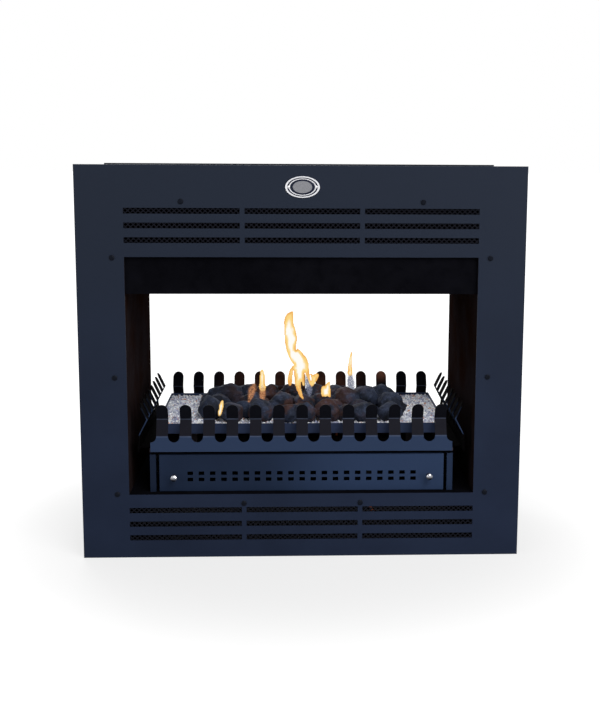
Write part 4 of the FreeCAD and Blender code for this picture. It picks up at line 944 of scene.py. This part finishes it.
class FIREPLACE_OT_gas_train(bpy.types.Operator):
    """Finishes the valve, its controls and the pipes"""

    bl_idname = "fireplace.gas_train"
    bl_label = "Gas valve and pipes"

    def execute(self, context):
        dress(bare_metal("die-cast alloy", srgb(168, 170, 173), 0.5), "gas_valve")
        dress(bare_metal("turned brass", srgb(200, 160, 82), 0.3, (0.1, 1, 1)), "gas_inlet", "injector")
        dress(bare_metal("copper tube", srgb(150, 88, 62), 0.4), "supply_pipe", "burner_pipe",
              "pilot_pipe", "thermocouple")
        dress(bare_metal("turned steel", srgb(160, 160, 163), 0.32, (1, 0.1, 1)), "valve_spindle")
        dress(moulded("black plastic", srgb(12, 12, 14), 0.5, 0.12), "control_knob", "igniter_body")
        dress(moulded("red plastic", srgb(150, 26, 22), 0.3), "igniter_button")
        dress(moulded("white ceramic", srgb(222, 216, 206), 0.6), "electrode")
        dress(moulded("lead sleeve", srgb(150, 66, 44), 0.55), "ignition_lead")
        return {"FINISHED"}


FLOOR_SIZE = 60.0
FLOOR_GLOW = 1.25
# Share of the glow in the floor near the object, and the squared distances between which it grows to full
FLOOR_GLOW_SHARE, FLOOR_FADE = 0.55, (0.15, 1.0)
WORLD_LIGHT = 0.3
# Each lamp: its place, its size and its power
LAMP_TARGET = Vector((0, 0, 0.42))
LAMPS = {
    "key": (Vector((1.3, -2.9, 3.1)), 2.4, 119),
    "side": (Vector((2.4, -2.2, 0.75)), 0.8, 20),
    "fill": (Vector((-2.6, -2.6, 1.4)), 2.4, 20),
    "rear": (Vector((-0.8, 3.0, 3.0)), 2.4, 110),
}
# Camera: its place, its turns in degrees, the picture, the focal length and the view's centre in pixels
CAMERA_PLACE = Vector((-30.2, -2634.3, 858.7)) * MM
CAMERA_YAW, CAMERA_PITCH, CAMERA_ROLL = -2.514, 8.805, 0.327
PICTURE_WIDTH, PICTURE_HEIGHT = 600, 720
SENSOR_WIDTH, FARTHEST = 36.0, 200.0
FOCAL_PIXELS = 1160.7
VIEW_CENTRE_X, VIEW_CENTRE_Y = 338.4, 336.1


def seen(tree):
    """1 for camera, glossy and transmission rays."""
    path = tree.nodes.new("ShaderNodeLightPath")
    total = path.outputs["Is Camera Ray"]
    for name in ("Is Glossy Ray", "Is Transmission Ray"):
        larger = tree.nodes.new("ShaderNodeMath")
        larger.operation = "MAXIMUM"
        tree.links.new(total, larger.inputs[0])
        tree.links.new(path.outputs[name], larger.inputs[1])
        total = larger.outputs[0]
    return total


def studio_floor():
    """Pale floor that shows almost white and keeps a faint shadow."""
    bm = bmesh.new()
    bmesh.ops.create_grid(bm, x_segments=1, y_segments=1, size=FLOOR_SIZE)
    mesh = bpy.data.meshes.new("floor")
    bm.to_mesh(mesh)
    bm.free()
    floor = bpy.data.objects.new("floor", mesh)
    bpy.context.scene.collection.objects.link(floor)
    finish = Finish("studio floor")
    finish.set(Base_Color=srgb(190, 190, 190), Roughness=0.9, Specular_IOR_Level=0.0)
    tree = finish.tree
    light = tree.nodes.new("ShaderNodeEmission")
    light.inputs["Strength"].default_value = FLOOR_GLOW
    mix = tree.nodes.new("ShaderNodeMixShader")
    x, y, _ = finish.axes()
    away = (x * x + y * y).between(*FLOOR_FADE)
    share = Value(finish, seen(tree)) * (away * (1 - FLOOR_GLOW_SHARE) + FLOOR_GLOW_SHARE)
    tree.links.new(share.socket, mix.inputs["Fac"])
    tree.links.new(finish.shader.outputs[0], mix.inputs[1])
    tree.links.new(light.outputs[0], mix.inputs[2])
    tree.links.new(mix.outputs[0], tree.nodes["Material Output"].inputs["Surface"])
    mesh.materials.append(finish.material)


def studio_world():
    """White to the eye and in reflections, softer as a light."""
    world = bpy.data.worlds.new("studio")
    bpy.context.scene.world = world
    world.use_nodes = True
    tree = world.node_tree
    background = tree.nodes["Background"]
    background.inputs["Color"].default_value = (1, 1, 1, 1)
    strength = tree.nodes.new("ShaderNodeMapRange")
    strength.inputs["To Min"].default_value = WORLD_LIGHT
    strength.inputs["To Max"].default_value = 1.0
    tree.links.new(seen(tree), strength.inputs["Value"])
    tree.links.new(strength.outputs[0], background.inputs["Strength"])


def studio_lamp(name, place, size, power):
    """Soft square lamp that shines at the middle of the fireplace."""
    lamp = bpy.data.lights.new(name, "AREA")
    lamp.size = size
    lamp.energy = power
    shown = bpy.data.objects.new(name, lamp)
    shown.location = place
    shown.rotation_euler = (LAMP_TARGET - place).to_track_quat("-Z", "Y").to_euler()
    bpy.context.scene.collection.objects.link(shown)


def studio_camera():
    """Camera at the photograph's view."""
    camera = bpy.data.cameras.new("camera")
    longest = max(PICTURE_WIDTH, PICTURE_HEIGHT)
    camera.sensor_width = SENSOR_WIDTH
    camera.lens = FOCAL_PIXELS / longest * camera.sensor_width
    camera.shift_x = (PICTURE_WIDTH / 2 - VIEW_CENTRE_X) / longest
    camera.shift_y = (VIEW_CENTRE_Y - PICTURE_HEIGHT / 2) / longest
    camera.clip_end = FARTHEST
    shown = bpy.data.objects.new("camera", camera)
    turn = Matrix.Rotation(math.radians(CAMERA_YAW), 4, "Z")
    tilt = Matrix.Rotation(math.radians(90 - CAMERA_PITCH), 4, "X")
    roll = Matrix.Rotation(math.radians(CAMERA_ROLL), 4, "Z")
    shown.matrix_world = Matrix.Translation(CAMERA_PLACE) @ turn @ tilt @ roll
    bpy.context.scene.collection.objects.link(shown)
    bpy.context.scene.camera = shown


class FIREPLACE_OT_stage(bpy.types.Operator):
    """Sets up floor, light and camera"""

    bl_idname = "fireplace.stage"
    bl_label = "Studio"

    def execute(self, context):
        context.scene.view_settings.view_transform = "Standard"
        studio_floor()
        studio_world()
        for name, (place, size, power) in LAMPS.items():
            studio_lamp(name, place, size, power)
        studio_camera()
        return {"FINISHED"}


class FIREPLACE_PT_panel(bpy.types.Panel):
    """Sidebar panel of the fireplace"""

    bl_label = "Fireplace"
    bl_idname = "FIREPLACE_PT_panel"
    bl_space_type = "VIEW_3D"
    bl_region_type = "UI"
    bl_category = "Fireplace"

    def draw(self, context):
        for group in (context.scene.fireplace_paints, context.scene.fireplace_sizes):
            for name in group.__annotations__:
                self.layout.prop(group, name)
        for operator in OPERATORS:
            self.layout.operator(operator.bl_idname)


OPERATORS = (FIREPLACE_OT_shell, FIREPLACE_OT_lattices, FIREPLACE_OT_badge, FIREPLACE_OT_firebox,
             FIREPLACE_OT_pedestal, FIREPLACE_OT_fences, FIREPLACE_OT_granules, FIREPLACE_OT_coals,
             FIREPLACE_OT_flames, FIREPLACE_OT_gas_train, FIREPLACE_OT_stage)
CLASSES = (FireplacePaints, FireplaceSizes, *OPERATORS, FIREPLACE_PT_panel)


def register():
    """Registers the classes and their settings."""
    for item in CLASSES:
        bpy.utils.register_class(item)
    bpy.types.Scene.fireplace_paints = bpy.props.PointerProperty(type=FireplacePaints)
    bpy.types.Scene.fireplace_sizes = bpy.props.PointerProperty(type=FireplaceSizes)


def unregister():
    """Takes the classes and their settings away again."""
    del bpy.types.Scene.fireplace_sizes
    del bpy.types.Scene.fireplace_paints
    for item in reversed(CLASSES):
        bpy.utils.unregister_class(item)


def main():
    """Builds everything in order."""
    register()
    for operator in OPERATORS:
        group, name = operator.bl_idname.split(".")
        getattr(getattr(bpy.ops, group), name)()


if __name__ == "__main__":
    main()
